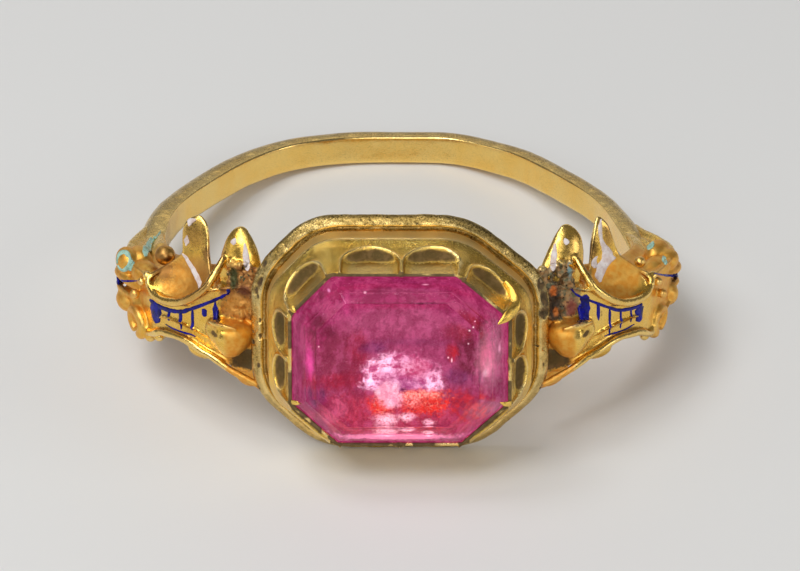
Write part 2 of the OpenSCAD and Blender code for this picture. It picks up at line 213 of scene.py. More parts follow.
def skin(rings):
    """Closed shell over rings of points (rings, points round each, 3): four-sided faces between them and a
    fan over each end."""
    m, n = rings.shape[:2]
    points = np.concatenate([rings.reshape(-1, 3), rings[[0, -1]].mean(1)])
    row, j = np.arange(m - 1)[:, None] * n, np.arange(n)
    k = (j + 1) % n
    quads = np.stack([row + j, row + k, row + n + k, row + n + j], -1).reshape(-1, 4)
    first, last = np.full(n, m * n), np.full(n, m * n + 1)
    ends = [np.stack([first, k, j], -1), np.stack([last, (m - 1) * n + j, (m - 1) * n + k], -1)]
    shell = points, quads, np.concatenate(ends)
    return shell if volume(shell) > 0 else (points, quads[:, ::-1], shell[2][:, ::-1])


def join(shells):
    """Several shells as one."""
    starts = np.cumsum([0] + [len(s[0]) for s in shells[:-1]])
    return tuple([np.concatenate([s[0] for s in shells])] + [
        np.concatenate([s[k] + start for s, start in zip(shells, starts)]) for k in (1, 2)])


def mirrored(shell):
    """A shell with left and right swapped."""
    return shell[0] * (-1, 1, 1), shell[1][:, ::-1], shell[2][:, ::-1]


def tube(path, radius, around, flat, ref):
    """Round shell carried along a path: at each point a circle, or an ellipse of that flatness, square to
    the path; the ellipse's wide way is square to ref."""
    ahead = unit(np.gradient(path, axis=0))
    side = unit(np.cross(ahead, np.broadcast_to(np.asarray(ref, float), ahead.shape)))
    up = np.cross(side, ahead)
    a = np.linspace(0, 2 * np.pi, around, endpoint=False)[:, None]
    r = np.broadcast_to(radius, len(path))[:, None, None]
    return skin(path[:, None] + r * (np.cos(a) * side[:, None] + flat * np.sin(a) * up[:, None]))


def blob(middle, axes, rings, around, power=1.0):
    """Ball stretched along three axes; a power under 1 makes it fuller, towards a box."""
    lat = np.linspace(-np.pi / 2, np.pi / 2, rings + 2)[1:-1][:, None]
    lon = np.linspace(0, 2 * np.pi, around, endpoint=False)
    ball = np.stack(np.broadcast_arrays(np.cos(lat) * np.cos(lon), np.cos(lat) * np.sin(lon),
                                        np.sin(lat)), -1)
    ball = np.sign(ball) * np.abs(ball) ** power
    return skin(np.asarray(middle) + ball @ np.asarray(axes, float))


def mesh_of(name, shell):
    """A mesh with a shell's points and faces as they are."""
    points, quads, tris = shell
    mesh = bpy.data.meshes.new(name)
    mesh.from_pydata(points.tolist(), [], quads.tolist() + tris.tolist())
    mesh.update()
    return mesh


def piece(name, shell, material, slot, replaced, smooth=True, **values):
    """A piece of the ring from a shell in mm, riding on the one body in place of the CAD nodes replaced.
    Values are numbers kept at its points for its material. Laying the ring down mirrors its directions, so
    the faces are turned round."""
    mesh = mesh_of(name, (lay_down(shell[0]), shell[1][:, ::-1], shell[2][:, ::-1]))
    mesh.polygons.foreach_set("use_smooth", np.full(len(mesh.polygons), smooth))
    for key, numbers in values.items():
        kept = mesh.attributes.new(key, "FLOAT", "POINT")
        kept.data.foreach_set("value", np.asarray(numbers, np.float32))
    mesh.materials.append(material)
    ob = bpy.data.objects.new(name, mesh)
    bpy.context.scene.collection.objects.link(ob)
    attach(ob, BODY)
    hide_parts(*replaced)
    return ob


def normals_of(shell):
    """Outward direction at each point: the mean of its faces' directions, by their area."""
    p, quads, tris = shell
    total = np.zeros_like(p)
    for faces, (a, b, c, d) in ((quads, (0, 2, 1, 3)), (tris, (0, 1, 0, 2))):
        flat = np.cross(p[faces[:, b]] - p[faces[:, a]], p[faces[:, d]] - p[faces[:, c]])
        for k in range(faces.shape[1]):
            for axis in range(3):
                total[:, axis] += np.bincount(faces[:, k], flat[:, axis], len(p))
    return unit(total)


def relax(points, faces, rounds):
    """Moves each point half of the way to the mean of its neighbours, so many times."""
    a = np.concatenate([f[:, k] for f in faces for k in range(f.shape[1])])
    b = np.concatenate([f[:, (k + 1) % f.shape[1]] for f in faces for k in range(f.shape[1])])
    count = np.bincount(a, minlength=len(points))[:, None]
    for _ in range(rounds):
        mean = np.stack([np.bincount(a, points[b, axis], len(points)) for axis in range(3)], -1) / count
        points = points + 0.5 * (mean - points)
    return points


def hollow_of(shell, rounds):
    """How deep each point lies in a hollow, in mm, less than 0 on a ridge: its way to the smoothed surface,
    along its normal."""
    soft = relax(shell[0], shell[1:], rounds)
    return ((soft - shell[0]) * normals_of(shell)).sum(1)


def fuse(shells, grid, rounds):
    """One skin round several overlapping shells: their union on a fine grid, then relaxed so that the grid
    doesn't show."""
    rough = bpy.data.objects.new("rough", mesh_of("rough", join(shells)))
    bpy.context.scene.collection.objects.link(rough)
    remesh = rough.modifiers.new("remesh", "REMESH")
    remesh.mode = "VOXEL"
    remesh.voxel_size = grid
    fine = rough.evaluated_get(bpy.context.evaluated_depsgraph_get()).to_mesh()
    points = np.empty(len(fine.vertices) * 3)
    fine.vertices.foreach_get("co", points)
    corners = np.empty(len(fine.loops), int)
    fine.loops.foreach_get("vertex_index", corners)
    bpy.data.objects.remove(rough)
    shell = points.reshape(-1, 3), corners.reshape(-1, 4), np.zeros((0, 3), int)
    return relax(shell[0], shell[1:2], rounds), shell[1], shell[2]


def raised(shell, height):
    """A shell with each point moved out along its normal by a height."""
    return shell[0] + normals_of(shell) * np.asarray(height)[:, None], shell[1], shell[2]


# Materials

def math_of(operation, swapped=False):
    """A method that makes a Math node of a wire and another value, which comes first where swapped."""
    def method(self, other):
        """Gives the Math node's output as a wire."""
        pair = (other, self) if swapped else (self, other)
        return self.paint.node("ShaderNodeMath", dict(enumerate(pair)), operation=operation)
    return method


class Wire:
    """An output socket in a material; arithmetic on it adds Math nodes."""

    def __init__(self, paint, socket):
        self.paint = paint
        self.socket = socket

    __add__ = math_of("ADD")
    __radd__ = math_of("ADD", True)
    __sub__ = math_of("SUBTRACT")
    __rsub__ = math_of("SUBTRACT", True)
    __mul__ = math_of("MULTIPLY")
    __rmul__ = math_of("MULTIPLY", True)
    at_most = math_of("MINIMUM")
    at_least = math_of("MAXIMUM")


class Paint:
    """A material for one finish of the ring, made of nodes."""

    def __init__(self, name, **constants):
        self.material = bpy.data.materials.new(name)
        self.material.use_nodes = True
        self.tree = self.material.node_tree
        self.surface = self.tree.nodes["Principled BSDF"]
        for key, value in constants.items():
            self.surface.inputs[key.replace("_", " ")].default_value = value

    def node(self, kind, inputs, output=0, **settings):
        """Adds a node: its settings first, then the values or wires of its inputs, by name or number. Gives
        one output."""
        made = self.tree.nodes.new(kind)
        for key, value in settings.items():
            setattr(made, key, value)
        for key, value in inputs.items():
            if isinstance(value, Wire):
                self.tree.links.new(value.socket, made.inputs[key])
            else:
                made.inputs[key].default_value = value
        return Wire(self, made.outputs[output])

    def set(self, **wires):
        """Leads wires to the inputs of the surface, by name."""
        for key, wire in wires.items():
            self.tree.links.new(wire.socket, self.surface.inputs[key.replace("_", " ")])

    def on_ring(self):
        """The place on the ring in mm, from the object's own coordinates: x, -v, w."""
        place = self.node("ShaderNodeTexCoord", {}, "Object")
        c, s = math.cos(LIE_TILT), math.sin(LIE_TILT)
        moved = (0, -(MID_Y * c - LIE_LIFT * s), -(MID_Y * s + LIE_LIFT * c))
        inputs = {0: place, "Location": moved, "Rotation": (LIE_TILT, 0, 0),
                  "Scale": (1 / MM, 1 / MM, 1 / MM)}
        return self.node("ShaderNodeMapping", inputs, vector_type="POINT")

    def noise(self, where, scale, detail=3.0, rough=0.5, stretch=None, output=0):
        """Noise from 0 to 1: scale is its fineness, which stretch changes along each direction, and detail
        the number of finer layers in it."""
        if stretch:
            where = self.node("ShaderNodeVectorMath", {0: where, 1: stretch}, operation="MULTIPLY")
        inputs = {"Vector": where, "Scale": scale, "Detail": detail, "Roughness": rough}
        return self.node("ShaderNodeTexNoise", inputs, output)

    def span(self, wire, low, high, to_low=0.0, to_high=1.0):
        """A smooth S from one value to another as a wire goes from low to high."""
        return self.node("ShaderNodeMapRange", {0: wire, 1: low, 2: high, 3: to_low, 4: to_high},
                         interpolation_type="SMOOTHSTEP")

    def spot(self, where, middle, size, soft, fine, ragged):
        """1 inside an oval on the ring (x, w), 0 outside; a soft edge, made ragged by fine noise."""
        off = self.node("ShaderNodeVectorMath", {0: where, 1: (middle[0], 0, middle[1])},
                        operation="SUBTRACT")
        off = self.node("ShaderNodeVectorMath", {0: off, 1: (1 / size[0], 0, 1 / size[1])},
                        operation="MULTIPLY")
        far = self.node("ShaderNodeVectorMath", {0: off}, "Value", operation="LENGTH")
        far = far + (fine - 0.5) * (ragged * 1.6)
        return self.span(far, 1 - soft, 1 + soft, 1.0, 0.0)

    def value(self, name):
        """A value kept at the piece's points; 0 where the piece has none of that name."""
        return self.node("ShaderNodeAttribute", {}, "Fac", attribute_name=name)

    def mix(self, share, first, second):
        """One colour turning into another by a share."""
        first, second = (c if isinstance(c, Wire) else (*c, 1) for c in (first, second))
        return self.node("ShaderNodeMix", {0: share, 6: first, 7: second}, 2, data_type="RGBA",
                         blend_type="MIX")

    def bump(self, height, distance, strength):
        """A normal bent by a height, which is that distance where the height is 1."""
        return self.node("ShaderNodeBump", {"Height": height, "Distance": distance, "Strength": strength})


# Gold: plain and pale; deeper in hollows, as painted shade; in specks; paler on worn ridges, as wear and
# painted highlight; and darkened by painted dark reflection
GOLD_PALE = (0.98, 0.66, 0.17)
GOLD = (0.92, 0.55, 0.09)
GOLD_SHADED = (0.74, 0.37, 0.075)
GOLD_SPECK = (0.34, 0.21, 0.04)
GOLD_WORN_AND_HIGHLIT = (1.0, 0.80, 0.38)
DARK_REFLECTION = (0.20, 0.13, 0.03)

# Dirt: plain, brown, blackest where grime runs over 1 (in pits, at the seam, under the arch crowns, and as
# painted shade under the buds), and dusty
RESIDUE = (0.035, 0.028, 0.022)
BROWN_DIRT = (0.10, 0.055, 0.028)
BLACK_DIRT_AND_SHADE = (0.018, 0.010, 0.006)
DUSTY_DIRT = (0.22, 0.12, 0.05)

# The warm orange bloom on the shoulders, deep and light
BLOOM_DEEP = (0.80, 0.33, 0.04)
BLOOM_LIGHT = (0.86, 0.48, 0.10)


def old_gold(name, rough, brushed=None, deep=1.0, low=GOLD_SHADED, soft=(0.35, 0.75), crust=None, stains=(),
             marks=(), residue=RESIDUE, plain=GOLD, pale=GOLD_PALE):
    """Old yellow gold: paler and brighter on worn ridges, which is wear and painted highlight; deeper in
    hollows, which is painted shade; dark residue at their bottom, fine scratches and a grainy skin; painted
    dark reflection in blotches. Reads the points' hollow, grime with painted shade, painted dark reflection
    and matt, and their warm and crust where it has crust colours. Marks lie on the gold and stains on the
    crust: x, w, half-width, half-height, colour, share."""
    p = Paint(name, Metallic=1.0, Specular_IOR_Level=0.2)
    where = p.on_ring()
    cloud = p.noise(where, 1.1, 4)
    grain = p.noise(where, 14, 4, 0.65)
    hollow, grime = p.value("hollow"), p.value("grime")
    # Paler worn ridges: wear and painted highlight
    worn = p.span(hollow * -1.0 + (grain - 0.5) * 0.02, 0.004, 0.05)
    # Painted shade: deeper gold in hollows
    sunk_shade = p.span(hollow + (cloud - 0.5) * 0.04, 0.0, 0.07 / deep)
    tone = p.mix(p.span(cloud, 0.3, 0.7), plain, pale)
    tone = p.mix(sunk_shade * 0.85, tone, low)
    tone = p.mix(p.span(p.noise(where, 24, 3, 0.6), 0.53, 0.60) * 0.28, tone, GOLD_SPECK)
    tone = p.mix(worn * 0.7, tone, GOLD_WORN_AND_HIGHLIT)
    # Residue where grime lies; the grime values also carry painted shade, which runs black
    dirt_and_shade = p.span(grime + (grain - 0.5) * 0.9 + (cloud - 0.5) * 0.5, *soft)
    blend = p.noise(where, 5, 3)
    residue = p.mix(p.span(blend, 0.42, 0.6), residue, BROWN_DIRT)
    residue = p.mix(p.span(grime, 0.95, 1.3), residue, BLACK_DIRT_AND_SHADE)
    reflection_gaps = p.span(p.noise(where, 2.6, 6, 0.7, (1, 1, 1.6)), 0.50, 0.60)
    # Painted dark reflection, broken up in blotches
    tarnish = (p.value("tarnish") * (1.0 - reflection_gaps * 0.55)).at_most(1.0)
    tone = p.mix(tarnish * p.span(grain, 0.35, 0.62, 1.0, 0.6), tone, DARK_REFLECTION)
    residue = p.mix(p.span(grain, 0.52, 0.72) * 0.4, residue, DUSTY_DIRT)
    tone = p.mix(dirt_and_shade * 0.9, tone, residue)
    rust = 0.0
    if crust:
        warm = p.value("warm") * (1.0 - dirt_and_shade)
        tone = p.mix(warm * 0.85, tone, p.mix(p.span(blend, 0.35, 0.65), BLOOM_DEEP, BLOOM_LIGHT))
        rough = warm * 0.28 + rough
        for x, w, rx, rw, colour, share in marks:
            tone = p.mix(p.spot(where, (x, w), (rx, rw), 0.5, grain, 1.0) * share, tone, colour)
        rust = p.span(p.value("crust") + (grain - 0.5) * 0.8, 0.3, 0.7)
        lumps = p.mix(p.span(blend, 0.4, 0.6), crust[0], crust[1])
        lumps = p.mix(p.span(p.noise(where, 3.4, 4, 0.6), 0.5, 0.62), lumps, crust[2])
        lumps = p.mix(p.span(p.noise(where, 5.5, 4, 0.6), 0.56, 0.64), lumps, crust[3])
        for x, w, rx, rw, colour, share in stains:
            lumps = p.mix(p.spot(where, (x, w), (rx, rw), 0.5, grain, 1.2) * share, lumps, colour)
        tone = p.mix(rust, tone, lumps)
    roughness = (grain - 0.5) * 0.3 + rough + p.value("matt") * 0.3 + sunk_shade * 0.12 - worn * 0.08
    roughness = roughness + dirt_and_shade * 0.4 + rust * 0.25 + tarnish * 0.1
    fine = p.noise(where, 60, 3, 0.6, brushed) if brushed else p.noise(where, 45, 4, 0.7)
    ripple = p.noise(where, 3.2, 3)
    height = fine * (0.35 if brushed else 0.16) + grain * 0.15 + ripple * 0.8 + dirt_and_shade * 0.5
    metal = (1.0 - dirt_and_shade * 0.85 - rust * 0.6).at_least(0.0)
    p.set(Base_Color=tone, Roughness=roughness.at_least(0.08), Metallic=metal,
          Normal=p.bump(height, 0.02 * MM, 0.9))
    return p.material


def enamel(name, colour, dark, chip_low):
    """Glassy enamel: its colour runs darker in clouds, with pinholes, and gold shows where it is chipped."""
    p = Paint(name, Coat_Roughness=0.15, IOR=1.52, Specular_IOR_Level=0.15)
    where = p.on_ring()
    cloud = p.noise(where, 3.5, 4, 0.6)
    pits = p.span(p.noise(where, 22, 2), 0.66, 0.74)
    chip = p.span(p.noise(where, 6.5, 5, 0.65), chip_low, chip_low + 0.05)
    tone = p.mix(p.span(cloud, 0.35, 0.7), colour, dark)
    tone = p.mix(pits * 0.6, tone, RESIDUE)
    tone = p.mix(chip, tone, GOLD)
    uneven = p.bump(cloud * 0.6 - pits * 0.5 - chip * 0.6, 0.03 * MM, 0.8)
    p.set(Base_Color=tone, Roughness=0.16 + cloud * 0.2 + pits * 0.3, Metallic=chip,
          Coat_Weight=0.12 - chip * 0.12, Normal=uneven)
    return p.material


# Marks on the crown: x, w, half-width, half-height, colour, share, softness. Glints glow: painted highlights
# and bubble sparkles; shades tint the glass: painted shade and sheen on the facets, dark painted lines at
# their edges
PAINTED_GLINTS = (
    (-3.38, 0.22, 0.15, 0.60, (0.36, 0.015, 0.16), 1.0, 0.8),
    (-3.34, 0.05, 0.08, 0.3, (0.60, 0.05, 0.28), 0.9, 0.9),
    (3.34, 0.35, 0.48, 1.3, (0.13, 0.085, 0.10), 0.8, 0.4),
    (3.22, 0.35, 0.26, 0.6, (0.42, 0.12, 0.18), 0.9, 0.6),
    (3.28, 0.0, 0.16, 0.3, (0.50, 0.22, 0.28), 0.8, 0.9),
    (3.20, -0.22, 0.09, 0.12, (0.62, 0.40, 0.46), 0.8, 1.0),
    (-0.05, -2.93, 2.25, 0.19, (0.60, 0.20, 0.36), 0.9, 0.35),
    (3.15, -1.75, 0.65, 0.4, (0.10, 0.07, 0.085), 0.8, 0.6),
    (2.59, 1.55, 0.032, 0.032, (0.9, 0.75, 0.8), 1.0, 0.6),
    (2.73, 1.68, 0.028, 0.028, (0.9, 0.75, 0.8), 1.0, 0.6),
    (2.55, 1.02, 0.028, 0.028, (0.8, 0.55, 0.65), 1.0, 0.6),
    (1.93, 0.35, 0.03, 0.08, (0.8, 0.5, 0.6), 1.0, 0.6),
    (1.80, 0.46, 0.03, 0.035, (0.8, 0.5, 0.6), 1.0, 0.6),
    (-3.03, 0.9, 0.03, 0.03, (0.7, 0.45, 0.5), 1.0, 0.6),
    (-1.3, 2.95, 0.05, 0.03, (0.6, 0.35, 0.45), 1.0, 0.6),
    (-2.65, 2.92, 0.05, 0.05, (0.4, 0.22, 0.4), 1.0, 0.7),
    (0.95, 3.16, 0.1, 0.015, (0.5, 0.3, 0.4), 1.0, 0.8),
    (-2.0, 2.55, 0.14, 0.4, (0.12, 0.01, 0.05), 1.0, 0.7),
    (3.72, 0.6, 0.04, 0.15, (0.5, 0.25, 0.35), 0.8, 0.7))
PAINTED_SHADES = (
    (-0.1, 2.78, 2.2, 0.17, (0.62, 0.06, 0.30), 0.95, 0.3),
    (-0.1, 2.64, 2.1, 0.03, (0.40, 0.10, 0.22), 0.9, 0.4),
    (0.95, 2.63, 0.6, 0.035, (0.05, 0.01, 0.03), 0.95, 0.5),
    (0.3, 2.98, 2.1, 0.03, (0.50, 0.18, 0.32), 0.8, 0.5),
    (0.0, -2.46, 2.0, 0.035, (0.30, 0.03, 0.12), 0.9, 0.4),
    (1.1, -2.28, 1.0, 0.02, (0.35, 0.03, 0.10), 0.9, 0.5),
    (-2.95, 2.72, 0.10, 0.16, (0.18, 0.04, 0.05), 0.9, 0.5),
    (0.5, 3.12, 1.4, 0.15, (0.55, 0.22, 0.50), 0.8, 0.7),
    (-0.75, 3.05, 0.3, 0.12, (0.25, 0.04, 0.14), 0.6, 1.0),
    (3.15, 1.77, 0.1, 0.06, (0.15, 0.0, 0.05), 0.9, 0.5),
    (-3.2, -1.4, 0.35, 0.4, (0.40, 0.20, 0.50), 0.7, 0.8),
    (-3.2, 1.9, 0.35, 0.4, (0.50, 0.15, 0.35), 0.7, 0.8),
    (-3.14, 0.2, 0.04, 2.0, (0.45, 0.12, 0.25), 0.7, 0.6),
    (2.97, 0.2, 0.035, 1.9, (0.35, 0.12, 0.25), 0.7, 0.6),
    (2.9, 2.3, 0.6, 0.3, (0.65, 0.35, 0.5), 0.6, 0.8),
    (-3.75, 0.2, 0.2, 2.0, (0.62, 0.30, 0.55), 0.7, 0.8),
    (3.6, -0.9, 0.3, 0.6, (0.5, 0.35, 0.5), 0.6, 0.8))


def clear_stone(name, tint, mottle=0.5):
    """Polished pink glass, faintly wavy and scratched, cloudy in tone, with painted highlights that glow,
    bubble sparkles among them, and painted shade, sheen and dark edge lines tinting its facets.
    """
    p = Paint(name, Transmission_Weight=1.0, IOR=1.63, Roughness=0.02, Specular_Tint=(0.35, 0.25, 0.35, 1),
              Emission_Strength=1.0)
    where = p.on_ring()
    fine = p.noise(where, 5, 5, 0.65)
    tone, glow = tint, (0.0, 0.0, 0.0)
    # Painted shade and sheen: spots that change the glass's tint
    for x, w, rx, rw, colour, share, soft in PAINTED_SHADES:
        tone = p.mix(p.spot(where, (x, w), (rx, rw), soft, fine, 1.0) * share, tone, colour)
    # Painted highlights and bubble sparkles: spots that glow
    for x, w, rx, rw, colour, share, soft in PAINTED_GLINTS:
        ragged = 1.0 if rx > 0.1 else 0.2
        glow = p.mix(p.spot(where, (x, w), (rx, rw), soft, fine, ragged) * share, glow, colour)
    scratch = p.span(p.noise(where, 9, 3, 0.6, (0.4, 1, 3.5)), 0.60, 0.66)
    cloudy = p.noise(where, 1.2, 9, 0.72)
    tone = p.mix(p.span(cloudy, 0.49, 0.55) * mottle * 0.7, tone, (0.56, 0.13, 0.32))
    tone = p.mix(p.span(cloudy, 0.48, 0.43) * mottle * 0.5, tone, (0.98, 0.66, 0.86))
    tone = p.mix(p.span(p.noise(where, 4.5, 7, 0.75), 0.525, 0.57) * mottle * 0.6, tone, (0.50, 0.10, 0.26))
    wavy = p.bump(p.noise(where, 1.4, 2) + scratch * 0.06, 0.03 * MM, 0.6)
    p.set(Base_Color=tone, Emission_Color=glow, Normal=wavy)
    return p.material


# Patches that show through the stone, glowing with its back as painted light: x, w, half-width, half-height,
# colour, share, softness, how ragged
PATCHES = (
    (0.0, 0.12, 3.15, 2.5, (0.47, 0.088, 0.195), 0.95, 0.05, 0.10),
    (0.1, 1.95, 2.5, 0.55, (0.56, 0.13, 0.25), 0.7, 0.6, 0.6),
    (-2.3, 0.45, 0.85, 1.25, (0.28, 0.035, 0.065), 0.8, 0.5, 0.8),
    (2.55, 0.75, 0.42, 1.0, (0.17, 0.016, 0.035), 0.9, 0.35, 0.6),
    (-1.55, 0.75, 0.42, 0.7, (0.40, 0.020, 0.045), 0.75, 0.5, 1.2),
    (-2.65, 1.65, 0.28, 0.25, (0.17, 0.012, 0.035), 0.75, 0.5, 0.8),
    (2.15, 1.55, 0.5, 0.35, (0.40, 0.022, 0.030), 0.6, 0.5, 1.1),
    (1.95, 0.75, 0.22, 0.3, (0.70, 0.022, 0.020), 0.8, 0.5, 1.2),
    (-2.1, -0.4, 1.0, 0.3, (0.50, 0.022, 0.050), 0.75, 0.5, 1.1),
    (-1.05, 0.82, 0.5, 0.2, (0.15, 0.03, 0.13), 0.7, 0.5, 1.0),
    (0.15, 1.05, 1.6, 0.14, (0.22, 0.04, 0.12), 0.5, 0.6, 1.2),
    (2.15, -0.25, 0.5, 0.28, (0.22, 0.055, 0.16), 0.8, 0.5, 0.9),
    (-1.9, -1.4, 0.9, 0.6, (0.48, 0.045, 0.09), 0.7, 0.5, 1.2),
    (0.0, -1.6, 2.7, 0.75, (0.60, 0.05, 0.085), 0.75, 0.4, 0.8),
    (-2.3, -1.45, 0.35, 0.3, (0.72, 0.14, 0.24), 0.7, 0.3, 2.2),
    (-2.93, -0.85, 0.12, 0.28, (0.10, 0.03, 0.09), 0.7, 0.5, 0.8),
    (-2.75, -1.9, 0.3, 0.4, (0.30, 0.03, 0.16), 0.6, 0.5, 0.8),
    (3.3, 1.3, 0.3, 0.9, (0.22, 0.055, 0.10), 0.7, 0.5, 0.5),
    (3.5, -0.6, 0.3, 0.9, (0.28, 0.05, 0.12), 0.6, 0.5, 0.5),
    (-3.7, 0.2, 0.35, 1.6, (0.34, 0.035, 0.13), 0.7, 0.5, 0.8),
    (0.0, 2.75, 2.6, 0.2, (0.52, 0.045, 0.155), 0.8, 0.5, 0.6))


# Painted sparkles, white under the orange glow: x, w, half-width, half-height
PAINTED_SPARKLES = (
    (-0.55, -1.86, 0.38, 0.19), (0.3, -1.80, 0.24, 0.12), (1.1, -1.98, 0.18, 0.08),
    (-0.25, -1.2, 0.28, 0.2))


def glowing_foiled_back():
    """The stone's back as it shows through the crown, all of it glowing as painted light: a magenta border,
    a dusty mauve middle with red, brown and purple clouds, a crumpled arc of foil with painted highlights,
    and below it an orange glow with a few white painted sparkles."""
    # Everything on the back glows by emission: painted light in place of light let in through the crown
    p = Paint("glowing foiled back", Roughness=0.6, Specular_IOR_Level=0.0, Emission_Strength=0.85)
    where = p.on_ring()
    wide, fine = p.noise(where, 1.3, 4, 0.6), p.noise(where, 4.5, 6, 0.68)
    specks = p.noise(where, 13, 4, 0.7)

    def spot(x, w, rx, rw, soft, ragged):
        """An oval seen at a place of the table, moved to where it lies on the back."""
        return p.spot(where, (x, w - SHIFT), (rx, rw), soft, fine, ragged)

    tone = p.mix(p.span(wide, 0.35, 0.65), (0.35, 0.024, 0.12), (0.50, 0.056, 0.185))
    for x, w, rx, rw, colour, share, soft, ragged in PATCHES:
        tone = p.mix(spot(x, w, rx, rw, soft, ragged) * share, tone, colour)
    streaks = p.noise(where, 2.4, 8, 0.72, (1.0, 1.0, 0.45))
    tone = p.mix(p.span(streaks, 0.49, 0.56) * 0.45, tone, (0.22, 0.015, 0.055))
    tone = p.mix(p.span(streaks, 0.485, 0.43) * 0.35, tone, (0.62, 0.13, 0.28))
    tone = p.mix(p.span(specks, 0.54, 0.75) * 0.4, tone, (0.78, 0.28, 0.42))
    # Orange glow, palest along its top; like all of the back, it is emitted as painted light
    glow = spot(0.85, -1.2, 0.95, 0.5, 0.3, 1.2).at_least(spot(-0.68, -1.4, 0.44, 0.4, 0.5, 1.3))
    ember = p.mix(p.span(fine, 0.42, 0.6), (0.66, 0.03, 0.03), (0.35, 0.02, 0.05))
    tone = p.mix(spot(2.35, -1.2, 0.75, 0.42, 0.5, 1.2) * 0.8, tone, ember)
    glowing = p.mix(p.span(fine, 0.48, 0.62), (1.0, 0.05, 0.022), (0.62, 0.02, 0.03))
    glowing = p.mix(p.span(specks + (fine - 0.5) * 0.6, 0.50, 0.68), glowing, (1.15, 0.32, 0.17))
    tone = p.mix(glow * 0.95, tone, glowing)
    tone = p.mix(spot(0.75, -0.98, 0.85, 0.13, 0.7, 1.6) * p.span(specks, 0.36, 0.6), tone,
                 (1.2, 0.62, 0.42))
    tone = p.mix(spot(0.45, -1.2, 0.28, 0.2, 0.8, 2.0) * p.span(specks, 0.36, 0.6), tone, (1.2, 0.58, 0.46))
    for x, w, rx, rw in PAINTED_SPARKLES:
        tone = p.mix(spot(x, w, rx, rw, 0.7, 2.0) * p.span(specks, 0.32, 0.5), tone, (1.4, 0.95, 0.96))
    # Crumpled foil: an arch, brightest at its left end and along its top, over a mauve middle; its brightest
    # spots are painted highlights
    bend = p.noise(where, 2.2, output="Color")
    bend = p.node("ShaderNodeVectorMath", {0: bend, 1: (0.5, 0.5, 0.5)}, operation="SUBTRACT")
    bend = p.node("ShaderNodeVectorMath", {0: bend, 1: (0.4, 0.4, 0.4), 2: where}, operation="MULTIPLY_ADD")
    folds = p.noise(bend, 2.5, 8, 0.70, (1.0, 1.0, 1.5))
    creases = p.noise(where, 4.2, 5, 0.6, (1.0, 1.0, 1.4))
    crumple = p.span(folds + (creases - 0.5) * 0.5 + (specks - 0.5) * 0.12, 0.40, 0.70)
    arch = spot(0.08, -0.42, 1.5, 1.02, 0.15, 0.7)
    under = spot(0.3, -0.66, 0.85, 0.38, 0.6, 0.9)
    foil = p.mix(crumple, (0.64, 0.10, 0.26), (1.2, 0.74, 0.95))
    foil = p.mix(under * 0.8, foil, p.mix(crumple, (0.44, 0.09, 0.27), (0.98, 0.46, 0.70)))
    rosy = spot(0.6, 0.0, 0.65, 0.4, 0.6, 1.2) * 0.6
    foil = p.mix(rosy, foil, p.mix(crumple, (0.66, 0.09, 0.18), (1.0, 0.34, 0.48)))
    # Painted highlights on the foil
    foil_highlights = spot(-1.18, -0.5, 0.34, 0.34, 0.7, 1.0).at_least(spot(-0.5, 0.15, 0.7, 0.3, 0.6, 1.3) * 0.8)
    foil_highlights = foil_highlights.at_least(spot(1.25, -0.65, 0.3, 0.45, 0.6, 1.4) * 0.8)
    foil = p.mix(foil_highlights * p.span(folds + (creases - 0.5) * 0.4, 0.38, 0.56), foil, (1.6, 1.3, 1.45))
    height = p.node("ShaderNodeSeparateXYZ", {0: where}, "Z")
    above = p.span(height + (fine - 0.5) * 0.5, -0.92 - SHIFT, -0.72 - SHIFT)
    lump = spot(-0.42, -0.98, 0.42, 0.45, 0.4, 1.2)
    tone = p.mix(arch * above, tone, foil)
    tone = p.mix(lump * 0.9, tone, p.mix(crumple, (1.1, 0.55, 0.64), (1.4, 1.2, 1.2)))
    tone = p.mix(spot(0.12, -0.80, 0.13, 0.06, 0.6, 1.8) * 0.8, tone, (0.12, 0.01, 0.06))
    p.set(Base_Color=p.mix(0.65, tone, (0.0, 0.0, 0.0)), Emission_Color=tone,
          Normal=p.bump(fine + specks * 0.5, 0.1 * MM, 0.8))
    return p.material


def crumpled_foil():
    """Bright foil, creased all over and tinted pink."""
    p = Paint("crumpled foil", Metallic=1.0, Roughness=0.22)
    where = p.on_ring()
    creases = p.noise(where, 3.5, 5, 0.6)
    tone = p.mix(creases, (0.95, 0.55, 0.65), (0.90, 0.70, 0.72))
    p.set(Base_Color=tone, Normal=p.bump(creases, 0.12 * MM, 1.0))
    return p.material


# Bezel

# Points round each of the outline's eight corners
CORNER_POINTS = 14


def octagon(d):
    """Outline of the stone moved out by d: four sides and four uneven cut corners, as eight points."""
    hw, hh = STONE_W / 2 + SIDE_GROW * d, STONE_H / 2 + d
    cut, uneven = CORNER_CUT + CORNER_GROW * d, max(1 + UNEVEN_GROW * d, 0)
    points = []
    for k, (sx, sw) in enumerate(((1, 1), (-1, 1), (-1, -1), (1, -1))):
        cx, cw = (max(cut + more * uneven, 0.12) for more in CUT_MORE[k])
        pair = [(sx * hw, sw * (hh - cw)), (sx * (hw - cx), sw * hh)]
        points += pair[::-1] if k % 2 else pair
    return np.array(points)


def soft_octagon(d, soft, spread):
    """The octagon with each corner a short curve, soft mm long on either side; spread is the number of
    points on each side."""
    p = octagon(d)
    ahead, back = np.roll(p, -1, 0) - p, np.roll(p, 1, 0) - p
    leave, enter = (p + soft * unit(way) for way in (ahead, back))
    t = np.linspace(0, 1, CORNER_POINTS)[:, None]
    row = []
    for k in range(8):
        row.append(enter[k] * (1 - t) ** 2 + 2 * p[k] * t * (1 - t) + leave[k] * t * t)
        s = np.linspace(0, 1, spread[k] + 2)[1:-1, None]
        row.append(leave[k] * (1 - s) + enter[(k + 1) % 8] * s)
    return np.concatenate(row)


